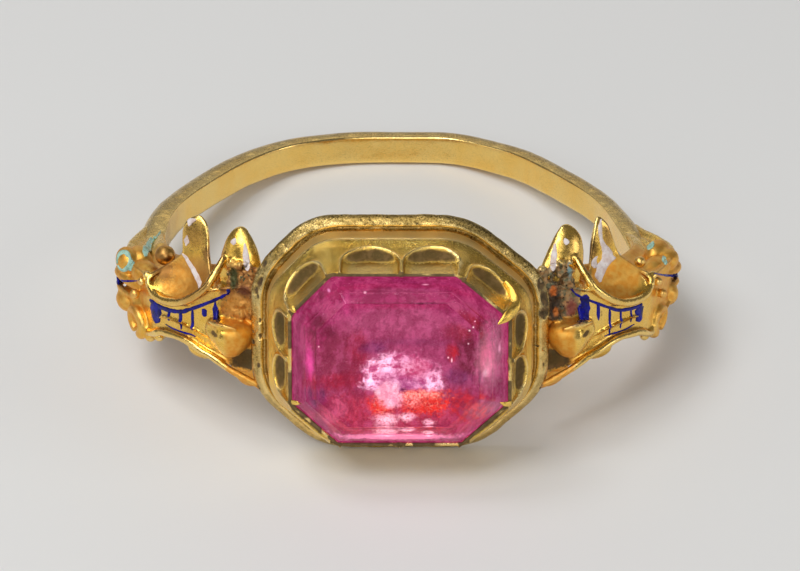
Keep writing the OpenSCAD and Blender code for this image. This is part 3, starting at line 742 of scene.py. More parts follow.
def level_rings(levels, total):
    """Rings round the bezel for rows (offset, height v, softness of the corners), with about that many
    points each."""
    sides = np.linalg.norm(np.roll(octagon(0.5), -1, 0) - octagon(0.5), axis=1)
    spread = np.round(sides / sides.sum() * (total - 8 * CORNER_POINTS)).astype(int)
    rings = []
    for d, v, soft in levels:
        outline = soft_octagon(d, soft, spread)
        rings.append(np.stack([outline[:, 0], np.full(len(outline), v), outline[:, 1]], -1))
    return np.array(rings)


def along(levels, step):
    """Rows between the rows of a table, evenly along the line that its first two columns draw."""
    levels = np.asarray(levels, float)
    run = np.concatenate([[0], np.cumsum(np.linalg.norm(np.diff(levels[:, :2], axis=0), axis=1))])
    even = np.linspace(0, run[-1], int(run[-1] / step) + 2)
    return np.stack([np.interp(even, run, levels[:, k]) for k in range(3)], -1)


def rounded(levels, times):
    """Rows with their corners eased: each row moves towards the mean of its two neighbours."""
    for _ in range(times):
        levels = np.concatenate([levels[:1], (levels[:-2] + 2 * levels[1:-1] + levels[2:]) / 4, levels[-1:]])
    return levels


# Pits on the box, as the photo shows them: x, w, size, depth, how long, how far it leans
PITS = np.array([
    (-5.15, 2.82, 0.09, 0.10, 2.0, 0.4), (-5.3, 2.13, 0.09, 0.14, 2.4, 0.35),
    (-5.42, 1.64, 0.08, 0.12, 2.2, -0.5), (-5.3, 0.53, 0.08, 0.10, 1, 0),
    (-5.26, -0.08, 0.09, 0.11, 1.1, 0), (-5.6, -0.4, 0.09, 0.1, 0.8, 0),
    (-5.66, 0.13, 0.08, 0.1, 1.6, -0.6), (-5.34, -1.26, 0.11, 0.06, 1, 0),
    (-5.26, -1.87, 0.07, 0.07, 1.2, 0), (-5.0, 3.3, 0.06, 0.08, 2.0, 0.6),
    (0.66, 4.5, 0.07, 0.06, 0.7, 0), (5.34, 2.05, 0.12, 0.12, 1.8, 0.2),
    (5.49, 1.43, 0.14, 0.13, 1.6, -0.3), (5.46, 0.82, 0.17, 0.14, 0.9, 0),
    (5.2, -0.5, 0.05, 0.05, 1, 0), (5.5, -1.2, 0.06, 0.06, 2, 0.3)])


def bezel_box():
    """The box: flat back, rounded rim, hollow moulding, a fine bead at the seam and the well inside. Its rim
    is waved and nicked by noise, with short cuts across it at the four cut corners. Gives its grime, and the
    painted dark reflection on its rim too."""
    turn = np.radians(np.linspace(90, 0, 12))
    moulding = [(0.96 - (0.96 - SEAM_D) * math.cos(a), SEAM_V - (SEAM_V - 9.40) * math.sin(a), 0.95)
                for a in turn]
    roll = [(1.05 + 0.33 * math.cos(a), 9.17 + 0.33 * math.sin(a), 1.15)
            for a in np.radians(np.linspace(0, 44, 8))]
    lip = [(1.085 + 0.09 * math.cos(a), 9.44 + 0.09 * math.sin(a), 1.15)
           for a in np.radians(np.linspace(52, 150, 9))]
    outside = [(1.2, BACK_V, 0.9), (1.32, BACK_V, 1.0), (RIM_OUT - 0.01, BACK_V + 0.03, 1.15)] + roll + lip
    seam = [(SEAM_D - 0.005, SEAM_V + 0.02, 0.8), (SEAM_D - 0.04, SEAM_V + 0.01, 0.8),
            (SEAM_D - 0.1, SEAM_V - 0.05, 0.7)]
    well = [(-0.25, SEAM_V - 0.05, 0.3), (-0.3, SEAM_V - 0.1, 0.3), (-0.3, 9.52, 0.3),
            (-0.36, 9.5, 0.3), (-2.8, 9.5, 0.1)]
    shown = rounded(along(outside + moulding + seam, BOX_STEP), 2)
    levels = np.concatenate([[(-2.6, BACK_V, 0.1), (-1, BACK_V, 0.3), (0.3, BACK_V, 0.5)], shown, well])
    rings = level_rings(levels, BOX_POINTS)
    rings[0] = rings[2] * (0.3, 1, 0.3)
    rings[1] = rings[2] * (0.65, 1, 0.65)
    rings[-1] = rings[-2] * (0.4, 1, 0.4)
    shell = skin(rings)
    p = shell[0]
    x, v, w = p.T
    ragged = p[:, [0, 2]] + 0.06 * np.stack([noise(p, 0.14, 31), noise(p, 0.14, 32)], -1)
    far = ragged[:, None] - PITS[None, :, :2]
    apart = np.hypot(far[..., 0] - PITS[:, 5] * far[..., 1], far[..., 1] / PITS[:, 4]) / PITS[:, 2]
    inside = (v > BACK_V + 0.12) & (v < SEAM_V)
    pit = np.exp(-apart ** 2) * inside[:, None]
    corner = rise(np.abs(x) / 5.64 + np.abs(w) / 4.75, 1.42, 1.5)
    on_rim = np.exp(-((v - RIM_TOP_V) / 0.12) ** 2) * (np.hypot(x / 5.5, w / 4.6) > 0.9)
    run = (x - w * np.sign(x * w)) * 0.5
    cuts = corner * on_rim * rise(np.cos(run * 17 + 3 * noise(p, 0.5, 3)), 0.5, 1.0)
    cuts *= rise(noise(p, 0.3, 4), -0.2, 0.3)
    rim = rise(v, BACK_V + 0.2, RIM_TOP_V) * (1 - rise(v, RIM_TOP_V + 0.03, RIM_TOP_V + 0.1))
    nicks = rim * rise(noise(p, 0.16, 5) + 0.4 * noise(p, 0.5, 6), 0.55, 1.0)
    height = 0.012 * noise(p, 0.9, 1) + 0.005 * noise(p, 0.2, 2)
    height += 0.012 * rise(9.7 - v, 0, 0.3) * noise(p @ TURNED, 0.28, 16)
    height -= 0.05 * nicks + 0.055 * cuts + pit @ PITS[:, 3]
    height *= np.arange(len(p)) < rings.shape[0] * rings.shape[1]
    shell = raised(shell, height)
    right = rise(x, 4.9, 5.3) * rise(w, 0.2, 1.0) * (1 - rise(w, 2.0, 3.2))
    grime = np.clip(1.1 * pit.max(1) + 0.6 * cuts + 0.4 * nicks + 0.3 * right, 0, 1.0)
    grime += 0.9 * np.exp(-((v - SEAM_V + 0.035) / 0.018) ** 2) + 0.12 * rise(np.abs(x), 5.0, 5.5)
    # Painted dark reflection over the rolled rim, stronger on its upper side
    tarnish = 1 - rise(v + 0.05 * noise(p, 0.25, 14) + 0.03 * noise(p, 0.1, 15), 9.46, 9.56)
    tarnish *= rise(v, BACK_V + 0.02, BACK_V + 0.12)
    tarnish *= (1.25 + 0.35 * noise(p, 0.5, 11)) * (0.5 + 0.5 * rise(w, 1.0, 3.5))
    return shell, grime, np.clip(tarnish, 0, 1.5)


# Arches: side of the octagon, place along it, half-width
ARCHES = ([(1, 0.86, 1.08), (1, -1.47, 1.08), (5, 1.15, 1.05), (5, -1.15, 1.05)]
          + [(side, s * 0.89, 0.8) for side in (3, 7) for s in (-1, 1)]
          + [(side, 0, 0.95) for side in (0, 2, 4, 6)])


def arch_depth(p):
    """How far inside the nearest arch each point is, in mm, less than 0 outside; and how near the arch's
    crown, 0 to 1."""
    inner = octagon(0.15)
    best, crown = np.full(len(p), -9.0), np.zeros(len(p))
    ahead = np.roll(inner, -1, 0) - inner
    long = np.linalg.norm(ahead, axis=1)
    ahead /= long[:, None]
    out = np.stack([ahead[:, 1], -ahead[:, 0]], -1)
    middle = (inner + np.roll(inner, -1, 0)) / 2
    xw = p[:, [0, 2]]
    off = np.stack([(xw - middle[k]) @ out[k] for k in range(8)], -1)
    nearest = off.argmax(1)
    for side, shift, half in ARCHES:
        s = (xw - middle[side]) @ ahead[side] - shift
        drop = np.maximum(GIRDLE_V - SPRING - p[:, 1], 0)
        reach = np.hypot(s / half, drop / (ARCH_H - SPRING))
        inside = np.where(nearest == side, (1 - reach) * np.where(drop > 0, ARCH_H - SPRING, half), -9)
        crown = np.where(inside > best, np.clip(drop / (ARCH_H - SPRING), 0, 1), crown)
        best = np.maximum(best, inside)
    return best, crown


def collet():
    """The arcaded setting: a sloping wall whose arches are cut in to a steep ledge and an upright back, with
    a fine raised line round each arch and a thin lip turned over the stone's edge. Gives its grime, a band
    of painted dark reflection next to the seam, and where its arch floors are made paler as painted light."""
    outer = [(SEAM_D - 0.04, SEAM_V + 0.035, 0.75), (SEAM_D + 0.005, SEAM_V + 0.06, 0.75),
             (SEAM_D, SEAM_V + 0.13, 0.75), (0.63, SEAM_V + 0.45, 0.6), (0.57, SEAM_V + 0.6, 0.5),
             (0.36, SEAM_V + 1.25, 0.35), (0.17, GIRDLE_V - 0.03, 0.2), (0.12, GIRDLE_V + 0.04, 0.14)]
    lip = [(0.06, GIRDLE_V + 0.06, 0.12), (0.005, GIRDLE_V + 0.055, 0.1), (0.012, GIRDLE_V + 0.0, 0.1)]
    shown = rounded(along(outer + lip, ARCADE_STEP), 1)
    wall = [(0.02, GIRDLE_V - 0.25, 0.1), (-0.28, GIRDLE_V - 0.66, 0.2), (-0.29, SEAM_V + 0.05, 0.3),
            (-0.2, SEAM_V + 0.032, 0.3)]
    foot = [(0.3, SEAM_V + 0.03, 0.4)]
    rings = level_rings(np.concatenate([foot, shown, wall, foot]), ARCADE_POINTS)
    m, n = rings.shape[:2]
    row, j = np.arange(m - 1)[:, None] * n, np.arange(n)
    k, after = (j + 1) % n, (row + n) % ((m - 1) * n)
    quads = np.stack([row + j, row + k, after + k, after + j], -1)
    shell = rings[:-1].reshape(-1, 3), quads.reshape(-1, 4), np.zeros((0, 3), int)
    if volume(shell) < 0:
        shell = shell[0], shell[1][:, ::-1], shell[2]
    p = shell[0]
    shown_row = np.repeat(np.arange(m - 1), n)
    front = (shown_row > 0) & (shown_row <= len(shown)) & (p[:, 1] < GIRDLE_V + 0.02)
    inside, crown = arch_depth(p)
    inside = np.where(front, inside + 0.012 * noise(p, 0.35, 7), -9)
    wall_d = np.interp(p[:, 1], [SEAM_V + 0.45, SEAM_V + 0.6, GIRDLE_V - 0.03], [0.63, 0.57, 0.17])
    back_d = np.interp(p[:, 1], [GIRDLE_V - ARCH_H, GIRDLE_V - 0.5, GIRDLE_V], [0.22, 0.13, 0.045])
    scoop = np.sqrt(1 - (1 - np.clip(inside / 0.48, 0, 1)) ** 2)
    cut = scoop * np.maximum(wall_d - back_d, 0)
    line = 0.065 * np.exp(-((inside + 0.05) / 0.05) ** 2)
    out = unit(normals_of(shell) * (1, 0, 1), 1e-9)
    moved = p + out * (line - cut)[:, None]
    moved += (relax(moved, (shell[1],), 40) - moved) * rise(inside, 0.1, 0.28)[:, None]
    wave = 0.010 * noise(p, 0.8, 8) + 0.006 * noise(p, 0.18, 9)
    high = p[:, 1]
    uneven = noise(p, 0.35, 10)
    burr = 0.05 * rise(uneven, 0.3, 0.9) * rise(high, GIRDLE_V - 0.02, GIRDLE_V + 0.04)
    moved[:, 1] += burr * front
    shell = raised((moved, shell[1], shell[2]), wave * front)
    # Darkest just under each arch's crown, fading towards its floor; a dark line at the seam, dark patches
    # on the lip
    grime = (1.15 + 0.2 * noise(p, 0.4, 12)) * rise(inside, -0.02, 0.03) * (1 - rise(inside, 0.1, 0.62))
    grime *= rise(crown, 0.15, 0.8)
    grime += 0.9 * (1 - rise(high, SEAM_V + 0.045, SEAM_V + 0.075))
    grime += 0.75 * rise(high, GIRDLE_V - 0.01, GIRDLE_V + 0.03) * rise(0.4 - uneven, 0, 0.3)
    over = shell[0][:, 1] > GIRDLE_V + 0.01
    grime = np.where(over, 1.0 - 0.8 * rise(uneven, 0.1, 0.5), np.where(front, grime, 0.3))
    # Painted dark reflection: a band up the wall next to the seam
    dark_band = 1 - rise(high + 0.06 * noise(p, 0.35, 17), SEAM_V + 0.16, SEAM_V + 0.44)
    dark_band *= rise(high, SEAM_V + 0.07, SEAM_V + 0.12)
    # Painted light: arch floors away from the crown, made paler
    rubbed_and_lit = rise(inside, 0.1, 0.3) * (1 - rise(crown, 0.3, 0.8))
    return shell, grime, 0.4 * dark_band * front * rise(p[:, 2], -1, 2), rubbed_and_lit


# Claws from base to tip: x, v, w, half-width. The right upper one is the largest and hooks round its arch
CLAWS = (
    ((3.92, 10.92, 2.72, 0.10), (4.2, 11.15, 2.38, 0.17), (4.28, 11.55, 2.02, 0.23),
     (4.0, 12.12, 1.80, 0.19), (3.64, 12.36, 1.58, 0.02)),
    ((-4.05, 11.97, 2.1, 0.12), (-3.96, 12.1, 2.03, 0.09), (-3.88, 12.12, 1.97, 0.01)),
    ((-4.1, 11.97, -1.72, 0.12), (-3.88, 12.2, -1.67, 0.09), (-3.66, 12.26, -1.62, 0.01)),
    ((4.15, 11.97, -1.8, 0.14), (3.95, 12.2, -1.71, 0.10), (3.74, 12.26, -1.62, 0.01)))


def claws():
    """Four claws pressed over the stone's corners: flattened drops carried along a line from the wall."""
    drops = []
    for rows in CLAWS:
        row = spline(rows, 8 * len(rows))
        drops.append(tube(row[:, :3], row[:, 3], 16, 0.42, (0, 1, 0)))
    return drops


# Stone

# Tiny bubbles in the stone: x, v, w, radius
BUBBLES = (
    (2.53, 12.3, 1.5, 0.035), (2.72, 12.35, 1.68, 0.025), (1.8, 12.2, 0.5, 0.022),
    (-1.2, 12.1, 1.4, 0.02))


def stone():
    """Step-cut stone: flat facets with eased edges from the table to the girdle, and a rounded, foiled back
    below."""
    top = GIRDLE_V + CROWN_H
    levels = [(-3.0, top, 0.02), (-0.92, top, 0.05), (-0.87, top - 0.008, 0.05),
              (-0.485, GIRDLE_V + CROWN_H * 0.65, 0.05), (-0.46, GIRDLE_V + CROWN_H * 0.61, 0.05),
              (-0.01, GIRDLE_V + 0.03, 0.05), (0, GIRDLE_V, 0.05), (0, GIRDLE_V - 0.18, 0.05),
              (-0.02, GIRDLE_V - 0.22, 0.06), (-0.5, GIRDLE_V - 0.62, 0.3),
              (-0.95, GIRDLE_V - 0.94, 0.5), (-1.5, GIRDLE_V - 1.28, 0.7), (-2.1, GIRDLE_V - 1.58, 0.5),
              (-2.6, GIRDLE_V - 1.78, 0.3), (-3.0, GIRDLE_V - 1.9, 0.1)]
    rings = level_rings(levels, STONE_POINTS)
    rings[0] = rings[1] * (0.3, 1, 0.3)
    for k, share in ((-3, 0.72), (-2, 0.45), (-1, 0.2)):
        rings[k, :, ::2] = rings[-4, :, ::2] * share
    rings[:3] += (-0.08, 0, 0.13)
    rings[3:5] += (-0.04, 0, 0.06)
    bubbles = [blob((x, v, w), np.eye(3) * r, 8, 12) for x, v, w, r in BUBBLES]
    return join([skin(rings)] + [(p, quads[:, ::-1], tris[:, ::-1]) for p, quads, tris in bubbles])


# Hoop

def hoop():
    """The hoop's section, flat inside and rounded outside, carried along a softly polygonal line."""
    row = spline(HOOP, HOOP_ROWS)
    ahead = np.gradient(row[:, :2], axis=0)
    out = unit(np.stack([ahead[:, 1], -ahead[:, 0]], -1))
    a = np.radians(np.linspace(-90, 90, 9))
    depth = np.concatenate([[-1, -0.93, -0.75], 0.6 * (np.cos(a) - 1), [-0.75, -0.93, -1, -1]])
    height = np.concatenate([[-0.86, -0.98, -1], np.sin(a), [1, 0.98, 0.86, 0]])
    high = row[:, 3, None] * HOOP_W / 2 * height
    deep = row[:, 2, None] * depth
    rings = np.stack([row[:, 0, None] + out[:, 0, None] * deep,
                      row[:, 1, None] + out[:, 1, None] * deep, high], -1)
    shell = skin(closed_spline(rings, 3))
    return raised(shell, 0.02 * noise(shell[0], 1.4, 20) + 0.008 * noise(shell[0], 0.4, 21))


# Shoulders, drawn as the left one; the right one is mirrored with its scrolls a little further back. In them
# t is the angle in degrees from the bezel's middle, r the radius and w the height

# Outer edges of the strap as they are seen: angle, height of the upper and of the lower one
EDGES = np.array([
    (26, 1.4, -1.4), (30.5, 1.55, -1.65), (34, 1.65, -1.75), (37, 1.55, -1.5), (40, 1.42, -1.22),
    (43, 1.1, -1.0), (46, 0.78, -0.85), (49, 0.55, -0.82), (52, 0.45, -0.9), (54.5, 0.48, -1.08),
    (57.5, 0.8, -1.3), (60.5, 0.95, -1.15), (66, 0.92, -0.95), (72, 0.82, -0.82), (120, 0.82, -0.82)])


def strap(lag):
    """The shoulder's body: a section carried from the bezel to the hoop, with a flat outer panel, a rim on
    either side of it, scooped sides and, on the tail, three flutes."""
    rows = spline(SHOULDER, STRAP_ROWS)
    if lag:
        rows[:, 1:3] -= 0.55 * rise(rows[:, 0], 75, 93)[:, None]
    t, ri, ro, hi, ho = rows.T[:, :, None]
    inner = ri + 0.15
    foot = ro - 0.24
    share = np.array([0.2, 0.4, 0.6, 0.8])
    tail = rise(t, 73 + lag, 78 + lag) * (1 - rise(t, 84, 93))
    halves = []
    for column, sign in ((1, 1), (2, -1)):
        edge = np.interp(t, EDGES[:, 0], np.abs(EDGES[:, column]))
        edge = edge + (ho - edge) * rise(t, 66, 72)
        deep = hi + (np.maximum(hi, edge) - hi) * 0.5
        side_r = inner + (foot - inner) * share
        side_w = deep + (edge - deep) * share - (0.27 - 0.1 * tail) * np.sin(np.pi * share)
        side_w -= 0.07 * tail * np.cos(share * 15)
        r = np.concatenate([ri, ri, inner, side_r, foot, ro - 0.1, ro + 0.02, ro - RIM_PROUD,
                            ro - RIM_PROUD + 0.09 * tail], 1)
        w = np.concatenate([0 * ri, deep - 0.15, deep, side_w, edge - 0.02, edge + 0.07, edge,
                            edge - 0.14, 0.3 * edge], 1)
        halves.append(at(t, r, sign * w))
    middle = at(t, ro - RIM_PROUD + 0.05 * tail, 0 * ro)
    return skin(closed_spline(np.concatenate([halves[0], middle, halves[1][:, :0:-1]], 1), 4))


# Rolled rims, as angle, radius, height, thickness: the upper one curls round the scooped dish and back along
# its far side to the rear leaf, the lower one runs along the strap
UPPER_RIM = np.array([
    (40.4, 10.2, 2.52, 0.10), (40.3, 10.36, 2.4, 0.155), (40.2, 10.6, 2.2, 0.165),
    (40.4, 10.95, 1.84, 0.165), (41.2, 11.22, 1.46, 0.165), (43.6, 11.38, 1.02, 0.165),
    (46.6, 11.44, 0.67, 0.17), (49.2, 11.46, 0.5, 0.175), (52, 11.47, 0.42, 0.175),
    (54.6, 11.46, 0.44, 0.17), (56.3, 11.45, 0.58, 0.15), (57.6, 11.4, 0.82, 0.14),
    (57.5, 11.2, 1.04, 0.12), (55.8, 10.95, 1.32, 0.11), (54.3, 10.6, 1.64, 0.1),
    (53.2, 10.35, 1.95, 0.09), (53.6, 10.2, 2.25, 0.07)])
LOWER_RIM = np.array([
    (59, 11.35, -1.4, 0.1), (57, 11.4, -1.32, 0.13), (54.5, 11.42, -1.1, 0.14),
    (52.1, 11.42, -0.95, 0.14), (47.2, 11.42, -0.85, 0.14), (43.7, 11.4, -0.96, 0.14),
    (41.8, 11.36, -1.09, 0.14), (39, 11.26, -1.28, 0.14), (35.5, 11.1, -1.65, 0.14),
    (32, 10.85, -2.0, 0.14), (29, 10.6, -2.3, 0.13)])

# Rear leaf and the dish that it grows out of, from the lip to the tip: height, radius, angle, half-width,
# how far its edges stand out, half-thickness, the angle that it faces
DISH = np.array([
    (0.42, 11.35, 50.5, 0.60, 0.05, 0.10, 49), (0.58, 11.0, 50.0, 1.05, 0.3, 0.12, 46),
    (0.85, 10.6, 49.4, 1.4, 0.55, 0.14, 43), (1.15, 10.35, 49.0, 1.42, 0.62, 0.15, 42),
    (1.45, 10.15, 49.0, 1.18, 0.50, 0.17, 43), (1.75, 10.02, 49.6, 0.82, 0.32, 0.19, 40),
    (2.1, 9.95, 50.4, 0.66, 0.2, 0.20, 36), (2.5, 9.92, 51.0, 0.62, 0.15, 0.20, 32),
    (2.9, 9.9, 51.3, 0.59, 0.12, 0.18, 29), (3.2, 9.87, 51.4, 0.49, 0.08, 0.15, 27),
    (3.42, 9.82, 51.4, 0.29, 0.03, 0.10, 26), (3.53, 9.79, 51.4, 0.08, 0.0, 0.04, 25)])

# Front leaf, the same way
PETAL = np.array([
    (0.85, 9.95, 37.4, 0.55, 0.0, 0.25, 22), (1.15, 10.0, 37.4, 0.78, -0.02, 0.32, 22),
    (1.6, 10.02, 37.4, 0.88, -0.06, 0.34, 22), (2.1, 9.98, 37.5, 0.87, -0.08, 0.34, 22),
    (2.6, 9.9, 37.8, 0.77, -0.07, 0.32, 22), (3.05, 9.8, 38.2, 0.6, -0.04, 0.27, 22),
    (3.33, 9.7, 38.6, 0.42, -0.02, 0.2, 22), (3.52, 9.6, 38.8, 0.22, 0.0, 0.12, 22),
    (3.6, 9.55, 38.8, 0.05, 0.0, 0.03, 22)])


def blade(table, lower=1.0):
    """A leaf: at each height an oval across the way it faces, bent so that its edges stand out or back."""
    w, r, t, half, turned, thick, face = spline(table, LEAF_ROWS).T[:, :, None]
    a = np.linspace(0, 2 * np.pi, LEAF_POINTS, endpoint=False)
    middle = at(t, r, w * lower)
    side = across(face)
    out = at(face, 1.0, 0.0)
    c = np.cos(a)[:, None]
    bent = turned[..., None] * c ** 2 + thick[..., None] * np.sin(a)[:, None]
    return skin(middle + half[..., None] * c * side + bent * out)


def knob(t, r, w, facing, along_it, out, high, rings=16, around=22):
    """A ball on the shoulder, facing an angle and stretched along the shoulder, outwards and upwards."""
    return blob(at(t, r, w), [across(facing) * along_it, at(facing, out, 0), (0, 0, high)], rings, around)


def bud():
    """A smooth knob beside the bezel: its outer face is folded along a ridge and drawn in to a point below,
    its upper edge is a turned lip."""
    points, quads, tris = blob((0, 0, 0), np.eye(3), 40, 60, 0.68)
    along_it, out, high = points.T
    low = rise(-high, -0.2, 1.1)
    dimple = 0.16 * np.exp(-((along_it - 0.35) / 0.3) ** 2 - ((high - 0.42) / 0.3) ** 2) * (out > 0)
    out = out * (1.12 - 0.42 * np.abs(along_it + 0.12)) * (1 - 0.3 * low) - dimple
    along_it = along_it * (0.98 - 0.5 * low) - 0.14 * low
    facing = 36.3
    points = at(facing, 10.98, -0.26) + along_it[:, None] * across(facing)
    points += out[:, None] * at(facing, 0.80, 0)
    points[:, 2] += np.where(high > 0, 0.62, 0.84) * high
    lip = np.linspace(32.6, 39.6, 24)
    lip_path = at(lip, 11.68 - 0.02 * (lip - 36) ** 2, 0.37 - 0.010 * (lip - 36) ** 2)
    thick = 0.11 * np.sin(np.linspace(0.5, 2.6, 24))
    return [(points, quads, tris), tube(lip_path, thick, 12, 1.0, (0, 1, 0))]


def shoulder_parts(lag, out, seed):
    """Everything soldered into one shoulder: body, rims, leaves, bud, scrolls, beads and the rough solder by
    the bezel."""
    flip = np.array([1, 1, -1])
    dish, petal = DISH.copy(), PETAL.copy()
    if lag:
        dish[:, 2] -= 0.9 * rise(dish[:, 0], 1.6, 3.0)
        dish[:, 3] *= 1 - 0.38 * rise(dish[:, 0], 2.0, 3.3)
        petal[:, 2] += 2.2 * rise(petal[:, 0], 1.4, 3.3)
    parts = [strap(lag), blade(dish), blade(petal)] + bud()
    lower = blade(DISH + (0, 0, -1.5, 0, 0, 0, 0), 0.66), blade(PETAL + (0, 0, -2.5, 0, 0, 0, 0), 0.8)
    parts += [(p * flip, quads[:, ::-1], tris[:, ::-1]) for p, quads, tris in lower]
    for table, ref in ((UPPER_RIM, (0.3, 1, 0.2)), (LOWER_RIM, (0.0, 0, 1))):
        t, r, w, thick = spline(table, RIM_POINTS).T
        thick = thick * (1 + 0.05 * np.sin(np.arange(RIM_POINTS) * 0.35))
        parts.append(tube(at(t, r, w), thick, 14, 1.0, ref))
    # Scrolls: two bosses parted by a groove between two bands, a thick curl below, knobs and small beads
    boss_t, boss_r = BOSS_T + lag, 10.95 + out
    if lag:
        front_t, front_w, long, upper, knob_high = boss_t - 1.5, 0.72, 0.5, 0.40, 0.42
    else:
        front_t, front_w, long, upper, knob_high = boss_t, 0.80, 0.66, 0.54, 0.5
    for sign, size in ((1, upper), (-1, 0.46)):
        parts.append(knob(front_t, boss_r, front_w * sign, boss_t, long, 0.44, size, 20, 30))
        parts.append(knob(boss_t, boss_r - 0.5, 0.7 * sign, boss_t, 0.8, 0.5, 0.6))
    parts.append(knob(boss_t, boss_r - 0.42, -0.1, boss_t, 0.9, 0.45, 0.5))
    parts.append(knob(63.4 + lag, 10.75 + out * 0.6, 0.62, 63, 0.85, 0.5, knob_high, 20, 30))
    parts.append(knob(64.2, 10.75 + out * 0.7, -0.9, 64, 0.75, 0.5, 0.7, 20, 30))
    for w, thick in ((0.2, 0.2), (-0.38, 0.13)):
        band = np.linspace(60.0 + lag * 0.6, 74.5 + lag, 24)
        r = boss_r + 0.2 - 0.010 * (band - boss_t - 1) ** 2 * np.where(band > boss_t, 1.6, 0.55)
        parts.append(tube(at(band, r, w - 0.002 * (band - 69) ** 2), thick, 12, 1.0, (0, 0, 1)))
    a = np.radians(np.linspace(-60, 250, 49))
    wide = 0.47 + 0.05 * np.cos(a)
    curl_t, curl_r = 62.6 + wide / 0.17 * np.cos(a), 11.18 + out * 0.7 + 0.05 * np.sin(a)
    curl = at(curl_t, curl_r, -1.22 + wide * np.sin(a))
    parts.append(tube(curl, 0.2 - 0.05 * np.cos((a + 1.0) * 0.58), 14, 1.0, at(63, 1.0, 0.0)))
    beads = [(58.6, 11.35, 0.98, 0.17), (60.2, 11.42, 0.62, 0.17), (61.8, 11.45 + out / 3, 0.02, 0.2)]
    if lag:
        beads += [(57.8, 11.1, -1.52, 0.2), (60.4, 11.1, -1.55, 0.22), (63.4, 11.0, -1.5, 0.2),
                  (60.3, 10.6, 1.25, 0.24)]
    else:
        beads += [(59.0, 11.05 + out / 2, -1.62, 0.22), (56.2, 11.12, -1.46, 0.2), (61.4, 11.1, -1.68, 0.18),
                  (61.0, 10.3, 1.42, 0.40), (58.6, 10.8, -1.5, 0.3)]
    parts += [knob(t, r, w, t, size, size, size, 14, 20) for t, r, w, size in beads]
    # Rough solder between the shoulder and the bezel's side
    rng = np.random.default_rng(seed)
    for _ in range(SOLDER_GRAINS):
        t, w = rng.uniform(29.5, 38.5), rng.uniform(0.4, 2.5)
        size = rng.uniform(0.07, 0.14)
        middle = at(t, rng.uniform(10.55, 10.85) - 0.12 * w, w)
        parts.append(blob(middle, np.eye(3) * size * rng.uniform(0.7, 1.4, 3), 8, 10))
    return parts


def shoulder(lag, out, seed):
    """One shoulder as a single skin, with its hollows, its grime with painted shade under the bud, and the
    crust on its rough solder.
    """
    shell = fuse(shoulder_parts(lag, out, seed), SHOULDER_GRID, 3)
    p = shell[0]
    t = np.degrees(np.arctan2(-p[:, 0], p[:, 1]))
    w = p[:, 2]
    crust = (1 - rise(t, 37.0, 40.0)) * rise(w, 0.2, 0.6) * (1 - 0.7 * rise(w, 2.2, 2.7))
    crust += 0.8 * (1 - rise(t, 29.5, 31.0)) * (1 - rise(w, 0.2, 0.6))
    r = np.hypot(p[:, 0], p[:, 1])
    crust *= rise(r + 0.1 * noise(p, 0.3, seed + 7), 10.1, 10.4)
    height = 0.012 * noise(p, 0.55, seed + 1) + 0.006 * noise(p, 0.16, seed + 2)
    height += crust * (0.035 * noise(p @ TURNED, 0.19, seed + 3) + 0.02 * noise(p @ TURNED, 0.09, seed + 4))
    shell = raised(shell, height)
    deep = hollow_of(shell, 18)
    grime = 0.5 * rise(deep, 0.04, 0.12) * rise(noise(p, 0.4, seed + 5), -0.4, 0.5)
    # Painted shade: blackest on the strap under the bud
    below = np.exp(-((t - 33.0) / 4.0) ** 4 - ((w + 1.25) / 0.45) ** 4)
    grime += 1.2 * below * rise(r, 10.1, 10.3) * (1 - rise(r, 10.9, 11.05))
    on_panel = (r > 11.15) * rise(w, -0.75, -0.6) * (1 - rise(w, 0.35, 0.6))
    on_panel = on_panel * (0.75 + 0.25 * noise(p, 0.3, seed + 6))
    for stripe in STRIPES[bool(lag)]:
        grime += 0.5 * on_panel * np.exp(-((t - stripe[0] - 0.85) / 0.3) ** 2)
    grime += 1.2 * np.exp(-((t - 37.0) / 1.5) ** 2 - ((w + 0.04) / 0.11) ** 2) * (r > 11.2)
    warm = rise(t, 43, 46) * (1 - rise(t, 56, 58)) * rise(w, 0.35, 0.6) * (1 - rise(w, 1.5, 2.3))
    warm *= 1 - rise(r, 11.1, 11.35)
    warm += rise(6.72 - np.abs(p[:, 0]), 0, 0.2) * (1 - rise(w, 0.2, 0.7))
    warm += 0.8 * rise(t, 57, 62) * (1 - rise(t, 74, 78))
    return shell, deep, grime, crust, warm


# Enamel: thin glazed strips laid on a shoulder's skin

# In mm: how deep a strip dips under the gold and how far its edges stand over it, its least half-width, and
# for the search along the line of sight, how far before a point it starts and how far off gold may lie
ENAMEL_DEPTH = 0.06
EDGE_PROUD = 0.006
LEAST_HALF = 0.004
SEARCH_FROM = 2.0
REACH = 1.5

# Places across a strip, from one edge to the other
ACROSS_STRIP = np.linspace(-1, 1, 11)


def laid_on(target, points, seen):
    """Places of some points on the faces of an object: the nearest ones, or those met along the line of
    sight, as long as they lie within REACH."""
    _, ahead, high = SEEN_FROM
    look = np.array([(1, 0, 0), (0, high, -ahead), SEEN_FROM])
    near = wrapped(target, points, "NEAREST_SURFACEPOINT", np.eye(3))
    if not seen:
        return near
    met = wrapped(target, points + SEARCH_FROM * SEEN_FROM, "PROJECT", look)
    way = np.linalg.norm(met - points, axis=-1, keepdims=True)
    return np.where(way < REACH, met, near)


